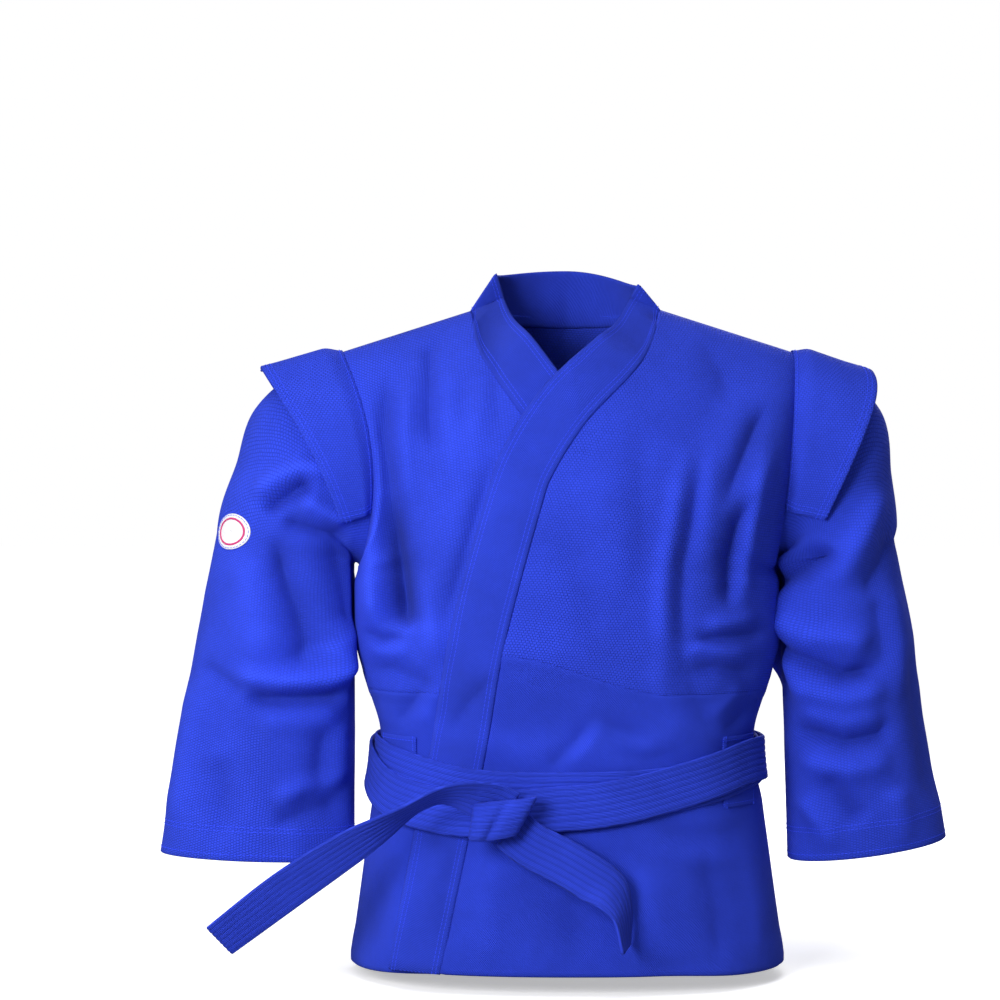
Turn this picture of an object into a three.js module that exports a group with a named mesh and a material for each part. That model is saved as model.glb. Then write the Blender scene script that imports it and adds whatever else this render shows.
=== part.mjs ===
// A wrap jacket for jacket wrestling: front and back panels with skirts, lapels and collar,
// set-in sleeves with cuff facings, shoulder wings over the sleeve heads, and a tied belt.
// Millimetres, +Z up, the wearer faces -Y. "right" and "left" are the wearer's own sides, so the
// right side lies at -X. The origin is at the base of the neck, between the shoulder seams.
import * as THREE from "three";

// ---- Cloth and clearances ----
const CLOTH = 2.5; // thickness of the body cloth
const LAPEL_THICK = 5; // folded and quilted lapel band
const LAPEL_WIDTH = 47;
const COLLAR_STAND = 42; // height of the collar behind the neck
const SEAM_GAP = 0.6; // between pieces that are sewn edge to edge
const SIDE_GAP = 1.6; // between the front and the back, along the shoulder and the side seam
const ARMHOLE_GAP = 2.4; // the sleeve meets the panels at an angle
const CORNER_GAP = 0.128 * LAPEL_WIDTH; // more room where the lapel turns up against the neck
const CORNER_LONG = 0.32 * (LAPEL_WIDTH / 47) ** 1.5; // share of the lapel that this room fades over
const LAYER_GAP = 0.6; // between cloths that lie on each other
const OVERLAP_LIFT = LAPEL_THICK + 3.2 * LAYER_GAP; // the left front lies over the right one

// ---- Body of the jacket ----
const SHOULDER_X = 208; // half the width between the tops of the armholes
const SHOULDER_DROP = 38; // fall of the shoulder seam from the neck to the armhole
const NECK_X = 89; // half the width of the neckline at the shoulder seam
const NECK_RISE = { front: 17, back: 62 }; // the cloth climbs towards the neck
const NECK_CURVE = { front: 2, back: 1.3 };
const ARMPIT_Z = -235;
const WAIST_SEAM_Z = -346;
const WAIST_SEAM_RISE = 36; // the left front's seam climbs towards its lapel
const BELT_Z = -409; // middle of the belt at the sides and back
const HEM_Z = -590;
const HEM_SIDE_DROP = 6;
const SKIRT_ROWS = Math.round((WAIST_SEAM_Z - HEM_Z) / 30); // a longer skirt has more rows
const LAPEL_ROWS = Math.round(-HEM_Z / 22.7);
// Half width, front depth and back depth of the jacket, by height.
const HALF_WIDTH = [
  [HEM_Z, 198], [-540, 191], [-452, 181], [-418, 176], [-380, 175],
  [-348, 183], [-304, 196], [-267, 194], [ARMPIT_Z, 190], [-190, 199], [-120, 206], [-30, 214],
];
const FRONT_DEPTH = [
  [HEM_Z, 117], [-500, 110], [-418, 104], [-378, 106], [-304, 119], [ARMPIT_Z, 125], [0, 125],
];
const BACK_DEPTH = [[HEM_Z, 108], [-500, 98], [-418, 84], [-378, 87], [-304, 98], [ARMPIT_Z, 108], [0, 106]];
const BOARD_HALF = 70; // the back is flat between the shoulder blades, where a number cloth is sewn
const BOARD_Z = [-212, -130];

// ---- Armholes, sleeves and wings, by side ----
const ARMHOLE_DEPTH = { front: 62, back: 57 };
const SIDES = {
  right: {
    sign: -1, frontX: 177, backX: 184, pitX: 190, inner: 12,
    reach: [197, 172, 141], depth: [62, 62, 58],
    cuffIn: [197, -503], cuffOut: [374, -497], cuffDepth: 48, cuffY: -8,
    wing: { top: 75, front: 62, end: 26, tipDrop: 17, ends: [118, 100] },
  },
  left: {
    sign: 1, frontX: 199, backX: 186, pitX: 190, inner: 18,
    reach: [197, 150, 122], depth: [62, 66, 66],
    cuffIn: [206, -505], cuffOut: [350, -484], cuffDepth: 60, cuffY: 4,
    wing: { top: 74, front: 78, end: 34, tipDrop: 20, ends: [116, 100] },
  },
};
const FAN_END = THREE.MathUtils.degToRad(77); // the sleeve turns through this angle about the armpit
const CUFF_FACING = 34;
const FACING_THICK = 1.6;
const BADGE = { wide: 44, high: 32, thick: 1.2, along: -0.04, around: 42 };
const WING_THICK = 2.2;
const WING_LIFT = 5.2; // the wing's middle above the sleeve's middle

// ---- Belt ----
const BELT_WIDTH = 38;
const BELT_THICK = 4;
const BELT_DIP = 24; // the belt dips at the front
const BELT_OUT = OVERLAP_LIFT + (LAPEL_THICK + BELT_THICK) / 2 + 5 * LAYER_GAP; // inner turn, in front
const BELT_OUT_BACK = (CLOTH + BELT_THICK) / 2 + 3 * LAYER_GAP;
const BELT_SIDE_ROOM = 3;
const TURN_STEP = BELT_THICK + LAYER_GAP + 0.4; // from one turn of the belt to the next
const KNOT = { x: -62, z: -448, wide: 52, high: 46, deep: 20, edge: 4, corner: 10 };
const LONG_TAIL = [[-76, -441], [-112, -440], [-146, -455], [-184, -480], [-243, -516], [-300, -551]];
const SHORT_TAIL = [[-33, -469], [0, -484], [28, -500], [42, -524], [44, -560]];
const SLOT_PATCH = { wide: 42, high: 62, thick: 1.5 };

// ---- Colours ----
const BLUE = 0x2438d6;
const SHADE_BLUE = 0x1d2cae;
const WHITE = 0xe8e9ef;

const { degToRad, lerp, smoothstep, clamp } = THREE.MathUtils;
const group = new THREE.Group();

// A smooth line through [place, value] pairs, read at a place.
function read(pairs, at) {
  const p = pairs, n = p.length - 1;
  const x = clamp(at, p[0][0], p[n][0]);
  let i = 0;
  while (i < n - 1 && x > p[i + 1][0]) i++;
  const slope = (k) => {
    const a = p[Math.max(k - 1, 0)], b = p[Math.min(k + 1, n)];
    return (b[1] - a[1]) / (b[0] - a[0]);
  };
  const h = p[i + 1][0] - p[i][0], t = (x - p[i][0]) / h;
  const t2 = t * t, t3 = t2 * t;
  return (2 * t3 - 3 * t2 + 1) * p[i][1] + (t3 - 2 * t2 + t) * h * slope(i) +
    (3 * t2 - 2 * t3) * p[i + 1][1] + (t3 - t2) * h * slope(i + 1);
}

const vec = (x, y, z) => new THREE.Vector3(x, y, z);
const span = (count) => Array.from({ length: count + 1 }, (_, i) => i / count);
const spread = (across) => Math.sin((across * Math.PI) / 2); // closer columns towards the side

// ---- Solids from grids of points ----

// A closed sheet round a grid of middle points. outward(point) tells which way is out; wrap joins the
// last column to the first. thick may be a number or a function of (row, column).
function sheetGeometry(grid, thick, outward, wrap = false) {
  const rows = grid.length, cols = grid[0].length;
  const half = typeof thick === "function" ? thick : () => thick / 2;
  const at = (i, j) => grid[clamp(i, 0, rows - 1)][wrap ? (j + cols) % cols : clamp(j, 0, cols - 1)];
  const normals = grid.map((row, i) => row.map((p, j) => {
    const n = at(i + 1, j).clone().sub(at(i - 1, j)).cross(at(i, j + 1).clone().sub(at(i, j - 1)));
    n.normalize();
    return n;
  }));
  const middle = grid[rows >> 1][cols >> 1];
  const flip = normals[rows >> 1][cols >> 1].dot(outward(middle)) < 0;
  const place = [];
  for (const side of [1, -1]) {
    for (let i = 0; i < rows; i++) {
      for (let j = 0; j < cols; j++) {
        const n = normals[i][j].clone().multiplyScalar((flip ? -side : side) * half(i, j));
        n.add(grid[i][j]);
        place.push(n.x, n.y, n.z);
      }
    }
  }
  const outer = (i, j) => i * cols + (wrap ? j % cols : j);
  const inner = (i, j) => rows * cols + outer(i, j);
  const faces = [];
  const quad = (a, b, c, d) => faces.push(...(flip ? [a, b, c, a, c, d] : [a, c, b, a, d, c]));
  const lastCol = wrap ? cols : cols - 1;
  for (let i = 0; i < rows - 1; i++) {
    for (let j = 0; j < lastCol; j++) {
      quad(outer(i, j), outer(i, j + 1), outer(i + 1, j + 1), outer(i + 1, j));
      quad(inner(i, j), inner(i + 1, j), inner(i + 1, j + 1), inner(i, j + 1));
    }
  }
  for (let j = 0; j < lastCol; j++) {
    quad(outer(0, j), inner(0, j), inner(0, j + 1), outer(0, j + 1));
    quad(outer(rows - 1, j), outer(rows - 1, j + 1), inner(rows - 1, j + 1), inner(rows - 1, j));
  }
  if (!wrap) {
    for (let i = 0; i < rows - 1; i++) {
      quad(outer(i, 0), outer(i + 1, 0), inner(i + 1, 0), inner(i, 0));
      quad(outer(i, cols - 1), inner(i, cols - 1), inner(i + 1, cols - 1), outer(i + 1, cols - 1));
    }
  }
  const geometry = new THREE.BufferGeometry();
  geometry.setAttribute("position", new THREE.Float32BufferAttribute(place, 3));
  geometry.setIndex(faces);
  geometry.computeVertexNormals();
  return geometry;
}

function add(name, geometry, color, roughness = 0.85) {
  const mesh = new THREE.Mesh(geometry, new THREE.MeshStandardMaterial({ color, roughness, metalness: 0 }));
  mesh.name = name;
  group.add(mesh);
}

const fromMiddle = (p) => vec(p.x, p.y, 0);

// ---- The jacket's surface ----

const ridge = (x, face = "front") => {
  const away = Math.abs(x);
  const fall = ((away - NECK_X) / (SHOULDER_X - NECK_X)) * -SHOULDER_DROP;
  return fall + NECK_RISE[face] * Math.max(0, 1 - away / NECK_X) ** NECK_CURVE[face];
};

// The flat part of the back stands a little inside the fullest part.
const BOARD_DEPTH = read(BACK_DEPTH, ARMPIT_Z) * 0.93;

// How far the cloth's middle stands out at a place, on the front or the back.
function depth(x, z, face) {
  const across = clamp(Math.abs(x) / read(HALF_WIDTH, z), 0, 1);
  const full = read(face === "front" ? FRONT_DEPTH : BACK_DEPTH, z);
  const round = (1 - across ** 2.6) ** (1 / 2.2);
  const up = clamp((z - ARMPIT_Z) / (ridge(x, face) - ARMPIT_Z), 0, 1);
  const bulk = full * round * (1 - up * up) ** 0.6;
  if (face === "front" || z < ARMPIT_Z - 60) return bulk;
  const near = (1 - smoothstep(Math.abs(x), BOARD_HALF, BOARD_HALF + 45)) *
    smoothstep(z, BOARD_Z[0] - 50, BOARD_Z[0]) * (1 - smoothstep(z, BOARD_Z[1], BOARD_Z[1] + 45));
  return lerp(bulk, BOARD_DEPTH, near);
}

// The left front lies over the right one, and the lift dies out towards the side and the neck.
function lift(side, x, z) {
  if (side !== "left") return 0;
  const across = x / read(HALF_WIDTH, z);
  return OVERLAP_LIFT * (1 - smoothstep(across, 0.68, 0.94)) * (1 - smoothstep(z, -52, -12));
}

const frontY = (side, x, z) => -depth(x, z, "front") - lift(side, x, z) - SIDE_GAP / 2;
const backY = (x, z) => depth(x, z, "back") + SIDE_GAP / 2;

// The armhole seam, from the shoulder (turn 0) to the armpit (turn 180 degrees).
function armhole(side, turn, face) {
  const s = SIDES[side], sin = Math.abs(Math.sin(turn)), down = (1 - Math.cos(turn)) / 2;
  const straight = lerp(SHOULDER_X, s.pitX, down);
  const inset = lerp(SHOULDER_X, s.pitX, 0.5) - (face === "front" ? s.frontX : s.backX);
  const x = straight - inset * sin * sin;
  const y = (face === "front" ? -1 : 1) * (ARMHOLE_DEPTH[face] * sin + SIDE_GAP / 2);
  return vec(s.sign * x, y, lerp(-SHOULDER_DROP, ARMPIT_Z, down));
}

// ---- Lapels ----
// Each row: x and z of the free edge, then the band's direction from that edge, in shares of its width.
const LAPELS = {
  left: [
    [66, 24, 0.42, -0.52], [45, -12, 0.56, -0.54], [21, -33, 0.66, -0.66], [-23, -75, 0.78, -0.62],
    [-57, -127, 0.89, -0.46], [-73, -172, 0.96, -0.24], [-104, -288, 0.97, -0.22],
    [-123, -398, 0.97, -0.2], [-160, HEM_Z, 0.96, 0],
  ],
  right: [
    [-66, 34, -0.48, -0.74], [-52, -6, -0.64, -0.6], [-30, -34, -0.76, -0.62], [14, -98, -0.85, -0.52],
    [45, -150, -0.88, -0.46], [64, -204, -0.93, -0.36], [97, -305, -0.97, -0.24],
    [112, -400, -0.98, -0.16], [126, HEM_Z, -0.97, 0],
  ],
};

// A lapel's free edge and seam at a share of its length, as places across the front.
function lapelAt(side, share) {
  const rows = LAPELS[side], last = rows.length - 1;
  const column = (k) => read(rows.map((row, i) => [i / last, row[k]]), share);
  const edge = [column(0), column(1)];
  const shoulder = ridge(rows[0][0] + LAPEL_WIDTH * rows[0][2]);
  const start = shoulder - rows[0][1] - LAPEL_WIDTH * rows[0][3]; // the seam starts on the shoulder line
  const seam = [
    edge[0] + LAPEL_WIDTH * column(2),
    edge[1] + LAPEL_WIDTH * column(3) + start * Math.max(0, 1 - share * last),
  ];
  return { edge, seam };
}

// The share of the lapel's length at which its seam is at a height.
function shareAt(side, z) {
  let low = 0, high = 1;
  for (let k = 0; k < 40; k++) {
    const mid = (low + high) / 2;
    if (lapelAt(side, mid).seam[1] > z) low = mid;
    else high = mid;
  }
  return (low + high) / 2;
}

function lapelPoint(side, share, across) {
  const { edge, seam } = lapelAt(side, share);
  const stand = 1 - smoothstep(share, 0, 0.24); // near the neck the band stands off the chest
  const x = lerp(edge[0], seam[0], across), z = lerp(edge[1], seam[1], across);
  const hugging = 1 - 0.75 * stand * (1 - across) ** 0.7;
  const top = 1 - smoothstep(share, 0, 0.06);
  const away = SIDE_GAP / 2 + 5 * (1 - across);
  return vec(x, lerp(frontY(side, x, z) * hugging, -away, top), z);
}

function lapel(side) {
  const sign = SIDES[side].sign;
  const trim = (t) => (SEAM_GAP + CORNER_GAP * (1 - smoothstep(t, 0, CORNER_LONG))) / LAPEL_WIDTH;
  const grid = span(LAPEL_ROWS).map((t) =>
    span(3).map((a) => lapelPoint(side, t ** 1.15, a * (1 - trim(t)))));
  const taper = (i) => (LAPEL_THICK - 2.1 * (1 - smoothstep(i, 0, 4))) / 2;
  add(side + "_lapel", sheetGeometry(grid, taper, (p) => vec(sign * 0.1, -1, 0)), BLUE);
}

// ---- Front panels ----

const waistSeam = (side, x) =>
  WAIST_SEAM_Z + (side === "left" ? WAIST_SEAM_RISE * (1 - smoothstep(x, -70, 100)) : 0);
const hemAt = (x) => HEM_Z - HEM_SIDE_DROP * smoothstep(Math.abs(x), 90, 190);

// A front panel's middle. down is 0 on the shoulder, 1 at the armpit and 2 on the waist seam; across is
// 0 at the lapel and 1 at the armhole or side seam.
function frontPoint(side, down, across) {
  const s = SIDES[side], share = spread(across);
  const fall = (1 - Math.cos(Math.PI * Math.min(down, 1))) / 2;
  const from = lapelAt(side, 0).seam[1];
  const seamZ = lerp(from, ARMPIT_Z, fall);
  const seam = lapelAt(side, shareAt(side, seamZ)).seam;
  const arm = armhole(side, Math.PI * Math.min(down, 1), "front");
  const z = lerp(seamZ, arm.z, share);
  if (down > 1) {
    const low = lapelAt(side, shareAt(side, waistSeam(side, seam[0]))).seam;
    const seamLine = waistSeam(side, lerp(low[0], s.sign * s.pitX, share)) + SEAM_GAP / 2;
    const lowZ = lerp(z, seamLine, down - 1);
    const line = lapelAt(side, shareAt(side, lowZ)).seam[0] + s.sign * SEAM_GAP;
    const lowX = lerp(line, s.sign * read(HALF_WIDTH, lowZ), share);
    return vec(lowX, frontY(side, lowX, lowZ), lowZ);
  }
  const x = lerp(seam[0] + s.sign * SEAM_GAP, arm.x, share);
  const pull = arm.y - frontY(side, arm.x, arm.z);
  const y = frontY(side, x, z) + pull * smoothstep(share, 0.5, 1);
  return vec(x, down === 0 ? -SIDE_GAP / 2 : y, z);
}

function skirtPoint(side, down, across) {
  const s = SIDES[side], share = spread(across);
  const top = lapelAt(side, shareAt(side, waistSeam(side, 0))).seam[0];
  const reach = lerp(top, s.sign * s.pitX, share);
  const z = lerp(waistSeam(side, reach) - SEAM_GAP / 2, hemAt(reach), down);
  const line = lapelAt(side, shareAt(side, Math.max(z, HEM_Z))).seam[0] + s.sign * SEAM_GAP;
  const x = lerp(line, s.sign * read(HALF_WIDTH, z), share);
  return vec(x, frontY(side, x, z), z);
}

const panel = (rows, cols, point) => rows.map((r) => cols.map((c) => point(r, c)));
const ROWS = [...span(9), ...span(4).slice(1).map((t) => 1 + t)];

function fronts(side) {
  const out = () => vec(0, -1, 0);
  const upper = panel(ROWS, span(10), (r, c) => frontPoint(side, r, c));
  add(side + "_front", sheetGeometry(upper, CLOTH, out), BLUE);
  const skirt = panel(span(SKIRT_ROWS), span(10), (r, c) => skirtPoint(side, r, c));
  add(side + "_skirt", sheetGeometry(skirt, CLOTH, out), BLUE);
}

// ---- Back ----

// across runs from -1 to 1; down is as on the fronts, and reaches 3 at the hem.
function backPoint(down, across) {
  const share = spread(across), side = share < 0 ? "right" : "left";
  const s = SIDES[side], away = Math.abs(share);
  const topX = away * SHOULDER_X;
  const topZ = topX < NECK_X ? ridge(NECK_X) : ridge(topX);
  if (down <= 1) {
    const arm = armhole(side, Math.PI * down, "back");
    const x = away * Math.abs(arm.x);
    const z = lerp(topZ, ARMPIT_Z, (1 - Math.cos(Math.PI * down)) / 2);
    const pull = arm.y - backY(arm.x, arm.z);
    const y = backY(x, z) + pull * smoothstep(away, 0.55, 1);
    return vec(s.sign * x, down === 0 && topX >= NECK_X ? SIDE_GAP / 2 : y, z);
  }
  const z = down <= 2
    ? lerp(ARMPIT_Z, WAIST_SEAM_Z + SEAM_GAP / 2, down - 1)
    : lerp(WAIST_SEAM_Z - SEAM_GAP / 2, hemAt(topX), down - 2);
  const x = away * read(HALF_WIDTH, z);
  return vec(s.sign * x, backY(x, z), z);
}

function back() {
  const out = () => vec(0, 1, 0);
  const cols = span(18).map((t) => 2 * t - 1);
  add("upper_back", sheetGeometry(panel(ROWS, cols, backPoint), CLOTH, out), BLUE);
  const low = span(SKIRT_ROWS).map((t) => 2.0001 + t * 0.9999);
  add("back_skirt", sheetGeometry(panel(low, cols, backPoint), CLOTH, out), BLUE);
}

// The collar stands round the back of the neck, from one lapel's top to the other's.
function collar() {
  const ends = { left: lapelAt("left", 0), right: lapelAt("right", 0) };
  const grid = span(16).map((t) => {
    const turn = degToRad(lerp(-90, 90, t));
    const side = turn < 0 ? "right" : "left", near = Math.abs(Math.sin(turn)), behind = Math.cos(turn);
    const low = Math.abs(ends[side].seam[0]) * near;
    const high = Math.abs(ends[side].edge[0]) * near;
    const lowZ = lerp(ridge(NECK_X) + 3, ends[side].seam[1], near ** 6);
    const highZ = lerp(COLLAR_STAND, ends[side].edge[1], near * near);
    const lowY = Math.max(backY(low, ridge(NECK_X)) - 6, 0.5) * (1 - near ** 8) + SEAM_GAP / 2;
    return span(3).map((a) => vec(
      SIDES[side].sign * lerp(low, high, a),
      lerp(lowY, 54 * behind + 1, a) + SEAM_GAP,
      lerp(lowZ, highZ, a),
    ));
  });
  add("neck_collar", sheetGeometry(grid, 2.9, fromMiddle), BLUE);
}

// A second layer of cloth inside each shoulder, from the neck to the armhole.
function shoulderLining(side) {
  const under = CLOTH + LAYER_GAP;
  const rows = span(8).map((t) => lerp(-0.34, 0.34, t));
  const grid = rows.map((r) => span(5).map((t) => {
    const across = lerp(0.2, 0.74, t);
    const p = r < 0
      ? frontPoint(side, -r, across)
      : backPoint(r, SIDES[side].sign * lerp(0.36, 0.78, t));
    const up = ridge(p.x) - p.z;
    const out = vec(0, Math.sign(r) * Math.min(1, up / 30), 1 - Math.min(1, up / 90)).normalize();
    return p.addScaledVector(out, -under - 1.4 * Math.min(1, up / 12));
  }));
  add(side + "_shoulder_lining", sheetGeometry(grid, 1.8, () => vec(0, 0, 1)), SHADE_BLUE);
}

// ---- Sleeves ----

// A sleeve's ring of middle points: place runs from 0 at the armhole to 1 where it hangs straight and
// 2 at the cuff. turn is 0 on top or outside, and 180 degrees at the armpit or inside.
function sleevePoint(side, place, turn, stand = 0) {
  const s = SIDES[side], face = Math.sin(turn) < 0 ? "back" : "front";
  const fan = (f) => {
    const angle = FAN_END * f;
    const reach = read([[0, s.reach[0]], [0.52, s.reach[1]], [1, s.reach[2]]], f);
    const wide = read([[0, s.depth[0]], [0.5, s.depth[1]], [1, s.depth[2]]], f);
    const out = lerp(s.inner, reach, (1 + Math.cos(turn)) / 2) + stand * Math.cos(turn);
    return vec(
      s.sign * (s.pitX + Math.sin(angle) * out),
      -(wide + stand) * Math.sin(turn),
      ARMPIT_Z + Math.cos(angle) * out,
    );
  };
  if (place <= 1) {
    const edge = armhole(side, Math.abs(turn), face);
    edge.x += s.sign * ARMHOLE_GAP;
    const away = edge.sub(fan(0)).multiplyScalar((1 - place) ** 2);
    return fan(place).add(away);
  }
  const t = place - 1, end = fan(1);
  const outX = s.pitX + Math.sin(FAN_END) * (s.reach[2] + stand);
  const inX = s.pitX + Math.sin(FAN_END) * (s.inner - stand);
  const cos = Math.cos(turn);
  const share = (1 + cos) / 2;
  const cuffX = lerp(s.cuffIn[0] - stand, s.cuffOut[0] + stand, share);
  const x = lerp(lerp(inX, outX, share), cuffX, t);
  const y = lerp(end.y, s.cuffY - (s.cuffDepth + stand) * Math.sin(turn), t);
  const z = lerp(end.z, lerp(s.cuffIn[1], s.cuffOut[1], share), t);
  return vec(s.sign * x, y, z);
}

function sleeve(side) {
  const places = [...span(7), ...span(6).slice(1).map((t) => 1 + t)];
  const turns = span(20).slice(0, 20).map((t) => t * 2 * Math.PI - Math.PI);
  const grid = places.map((f) => turns.map((w) => sleevePoint(side, f, w)));
  const out = (p) => {
    const c = grid[grid.length >> 1].reduce((a, b) => a.add(b), vec(0, 0, 0));
    return p.clone().sub(c.multiplyScalar(1 / turns.length));
  };
  add(side + "_sleeve", sheetGeometry(grid, CLOTH, out, true), BLUE);
  // The facing is a band of cloth inside the cuff.
  const inset = -(CLOTH + FACING_THICK) / 2 - LAYER_GAP;
  const length = Math.abs(SIDES[side].cuffOut[1] - ARMPIT_Z);
  const band = span(2).map((t) => turns.map((w) =>
    sleevePoint(side, 2 - (CUFF_FACING * (1 - t)) / length, w, inset)));
  const middle = band[1].reduce((a, b) => a.add(b), vec(0, 0, 0)).multiplyScalar(1 / turns.length);
  add(side + "_cuff_facing",
    sheetGeometry(band, FACING_THICK, (p) => p.clone().sub(middle), true), SHADE_BLUE);
}

// A small stiff badge on the outside of the right upper sleeve, on its tangent plane.
function badge() {
  const turn = degToRad(BADGE.around), place = 1 + BADGE.along;
  const at = sleevePoint("right", place, turn);
  const down = sleevePoint("right", place + 0.05, turn).sub(at).normalize();
  const round = sleevePoint("right", place, turn + 0.05).sub(sleevePoint("right", place, turn - 0.05));
  const out = down.clone().cross(round).normalize();
  if (out.x > 0) out.negate();
  const level = out.clone().cross(down).normalize();
  const shape = new THREE.Shape();
  shape.absellipse(0, 0, BADGE.wide / 2, BADGE.high / 2, 0, 2 * Math.PI);
  const geometry = new THREE.ExtrudeGeometry(shape, {
    depth: BADGE.thick, bevelEnabled: false, curveSegments: 12,
  });
  const start = at.clone().addScaledVector(out, CLOTH / 2 + LAYER_GAP);
  const matrix = new THREE.Matrix4().makeBasis(level, out.clone().cross(level), out).setPosition(start);
  geometry.applyMatrix4(matrix);
  add("right_sleeve_badge", geometry, WHITE, 0.6);
}

// ---- Shoulder wings ----

// across runs from -1 at the back end to 1 at the front end, out from 0 at the seam to 1 at the tip.
function wingPoint(side, across, out, stand) {
  const s = SIDES[side], w = s.wing, away = Math.abs(across);
  const face = across < 0 ? "back" : "front";
  const turn = degToRad((across < 0 ? w.ends[1] : w.ends[0]) * away);
  const long = read([[0, w.top], [0.45, (w.top + w.front) / 2], [1, w.end]], away);
  const root = armhole(side, turn, face), wide = Math.sin(turn);
  const up = vec(0, (face === "front" ? -1 : 1) * wide, Math.cos(turn) * (1 - 0.1 * out));
  const flat = long * out;
  const drop = s.wing.tipDrop * out * Math.cos(turn * 0.5) ** 2 + flat * 0.1 * (1 - wide);
  const clear = WING_LIFT + stand + 9 * out * wide;
  return vec(root.x + s.sign * (SEAM_GAP + flat), root.y + up.y * clear, root.z + up.z * clear - drop * 0.9);
}

function wings(side) {
  const out = () => vec(0, 0, 1);
  const shape = (stand, start) => span(10).map((a) =>
    span(4).map((t) => wingPoint(side, 2 * a - 1, lerp(start, 1, t), stand)));
  const outer = WING_THICK + 2 * LAYER_GAP;
  add(side + "_wing", sheetGeometry(shape(outer, 0), WING_THICK, out), BLUE);
  add(side + "_wing_lining", sheetGeometry(shape(0, 0.02), WING_THICK, out), SHADE_BLUE);
}

// ---- Belt ----

// The belt's middle round the jacket. round is 0 at the front and grows towards the left side.
function beltPoint(round, out, z) {
  const sin = Math.sin(round), cos = Math.cos(round), face = cos > 0 ? "front" : "back";
  const wide = read(HALF_WIDTH, z) + BELT_OUT_BACK + BELT_SIDE_ROOM + out;
  const grow = (face === "front" ? BELT_OUT : BELT_OUT_BACK) + SIDE_GAP / 2 + out;
  const full = read(face === "front" ? FRONT_DEPTH : BACK_DEPTH, z) + grow;
  const x = wide * Math.sign(sin) * Math.abs(sin) ** (2 / 2.6);
  const y = -full * Math.sign(cos) * Math.abs(cos) ** (2 / 2.2);
  return vec(x, y, z);
}

function wrap(name, out, dip, centre) {
  const turns = span(44).slice(0, 44).map((t) => t * 2 * Math.PI);
  const grid = [BELT_WIDTH / 2, -BELT_WIDTH / 2].map((level) => turns.map((r) => {
    const front = Math.max(0, Math.cos(r - centre)) ** 2;
    return beltPoint(r, out, BELT_Z - dip * front + level);
  }));
  add(name, sheetGeometry(grid, BELT_THICK, fromMiddle, true), BLUE, 0.7);
}

// A flat length of belt along a path across the front, each point [x, z], with its distance out.
function tail(name, path, y, lean) {
  const curve = new THREE.CatmullRomCurve3(path.map(([x, z]) => vec(x, 0, z)));
  const grid = span(12).map((t) => {
    const p = curve.getPoint(t), along = curve.getTangent(t);
    const side = vec(-along.z, 0, along.x).multiplyScalar(BELT_WIDTH / 2);
    return [-1, 0, 1].map((k) => vec(p.x + k * side.x, y + lean * t * t, p.z + k * side.z));
  });
  add(name, sheetGeometry(grid, BELT_THICK, () => vec(0, -1, 0)), BLUE, 0.7);
}

function knot(y) {
  const shape = new THREE.Shape();
  const a = KNOT.wide / 2, b = KNOT.high / 2, r = KNOT.corner, edge = KNOT.edge;
  shape.moveTo(-a + r, -b);
  shape.lineTo(a - r, -b).absarc(a - r, -b + r, r, -Math.PI / 2, 0);
  shape.lineTo(a, b - r).absarc(a - r, b - r, r, 0, Math.PI / 2);
  shape.lineTo(-a + r, b).absarc(-a + r, b - r, r, Math.PI / 2, Math.PI);
  shape.lineTo(-a, -b + r).absarc(-a + r, -b + r, r, Math.PI, 1.5 * Math.PI);
  const geometry = new THREE.ExtrudeGeometry(shape, {
    depth: KNOT.deep - 2 * edge, bevelThickness: edge, bevelSize: edge, bevelOffset: -edge,
    bevelSegments: 2, curveSegments: 4,
  });
  geometry.rotateX(Math.PI / 2);
  geometry.translate(KNOT.x, -y - edge, KNOT.z);
  add("belt_knot", geometry, BLUE, 0.7);
}

// The patches that frame the belt's slots, on each side of the front.
function slotPatch(side) {
  const sign = SIDES[side].sign, out = (CLOTH + SLOT_PATCH.thick) / 2 + 2 * LAYER_GAP;
  const wide = read(HALF_WIDTH, BELT_Z);
  const grid = span(4).map((v) => span(6).map((u) => {
    const z = BELT_Z - 8 + SLOT_PATCH.high * (0.5 - v);
    const x = sign * (wide * 0.968 - SLOT_PATCH.wide * 0.72 * (1 - spread(u)));
    const step = 0.5;
    const slopeX = (frontY(side, x + step, z) - frontY(side, x - step, z)) / (2 * step);
    const slopeZ = (frontY(side, x, z + step) - frontY(side, x, z - step)) / (2 * step);
    const normal = vec(slopeX, -1, slopeZ).normalize();
    return vec(x, frontY(side, x, z), z).addScaledVector(normal, out);
  }));
  add(side + "_slot_patch",
    sheetGeometry(grid, SLOT_PATCH.thick, () => vec(sign * 0.5, -1, 0)), SHADE_BLUE);
}

for (const side of ["right", "left"]) {
  fronts(side);
  lapel(side);
  shoulderLining(side);
  sleeve(side);
  wings(side);
  slotPatch(side);
}
back();
collar();
badge();

// The belt's layers in front of the jacket, each clear of the last.
const beltFront = read(FRONT_DEPTH, KNOT.z) + SIDE_GAP / 2 + BELT_OUT + TURN_STEP + BELT_THICK / 2;
const shortTailY = beltFront + 3 * LAYER_GAP + BELT_THICK / 2;
const knotY = shortTailY + BELT_THICK / 2 + 2 * LAYER_GAP;
const longTailY = knotY + KNOT.deep + LAYER_GAP + BELT_THICK / 2;
wrap("belt_inner_wrap", 0, BELT_DIP, 0);
wrap("belt_outer_wrap", TURN_STEP, BELT_Z - KNOT.z, Math.atan2(KNOT.x, beltFront));
knot(knotY);
tail("belt_long_tail", LONG_TAIL, -longTailY, -9);
tail("belt_short_tail", SHORT_TAIL, -shortTailY, -6);

export default group;
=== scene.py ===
"""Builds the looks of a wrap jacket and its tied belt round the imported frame."""
import math

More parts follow.
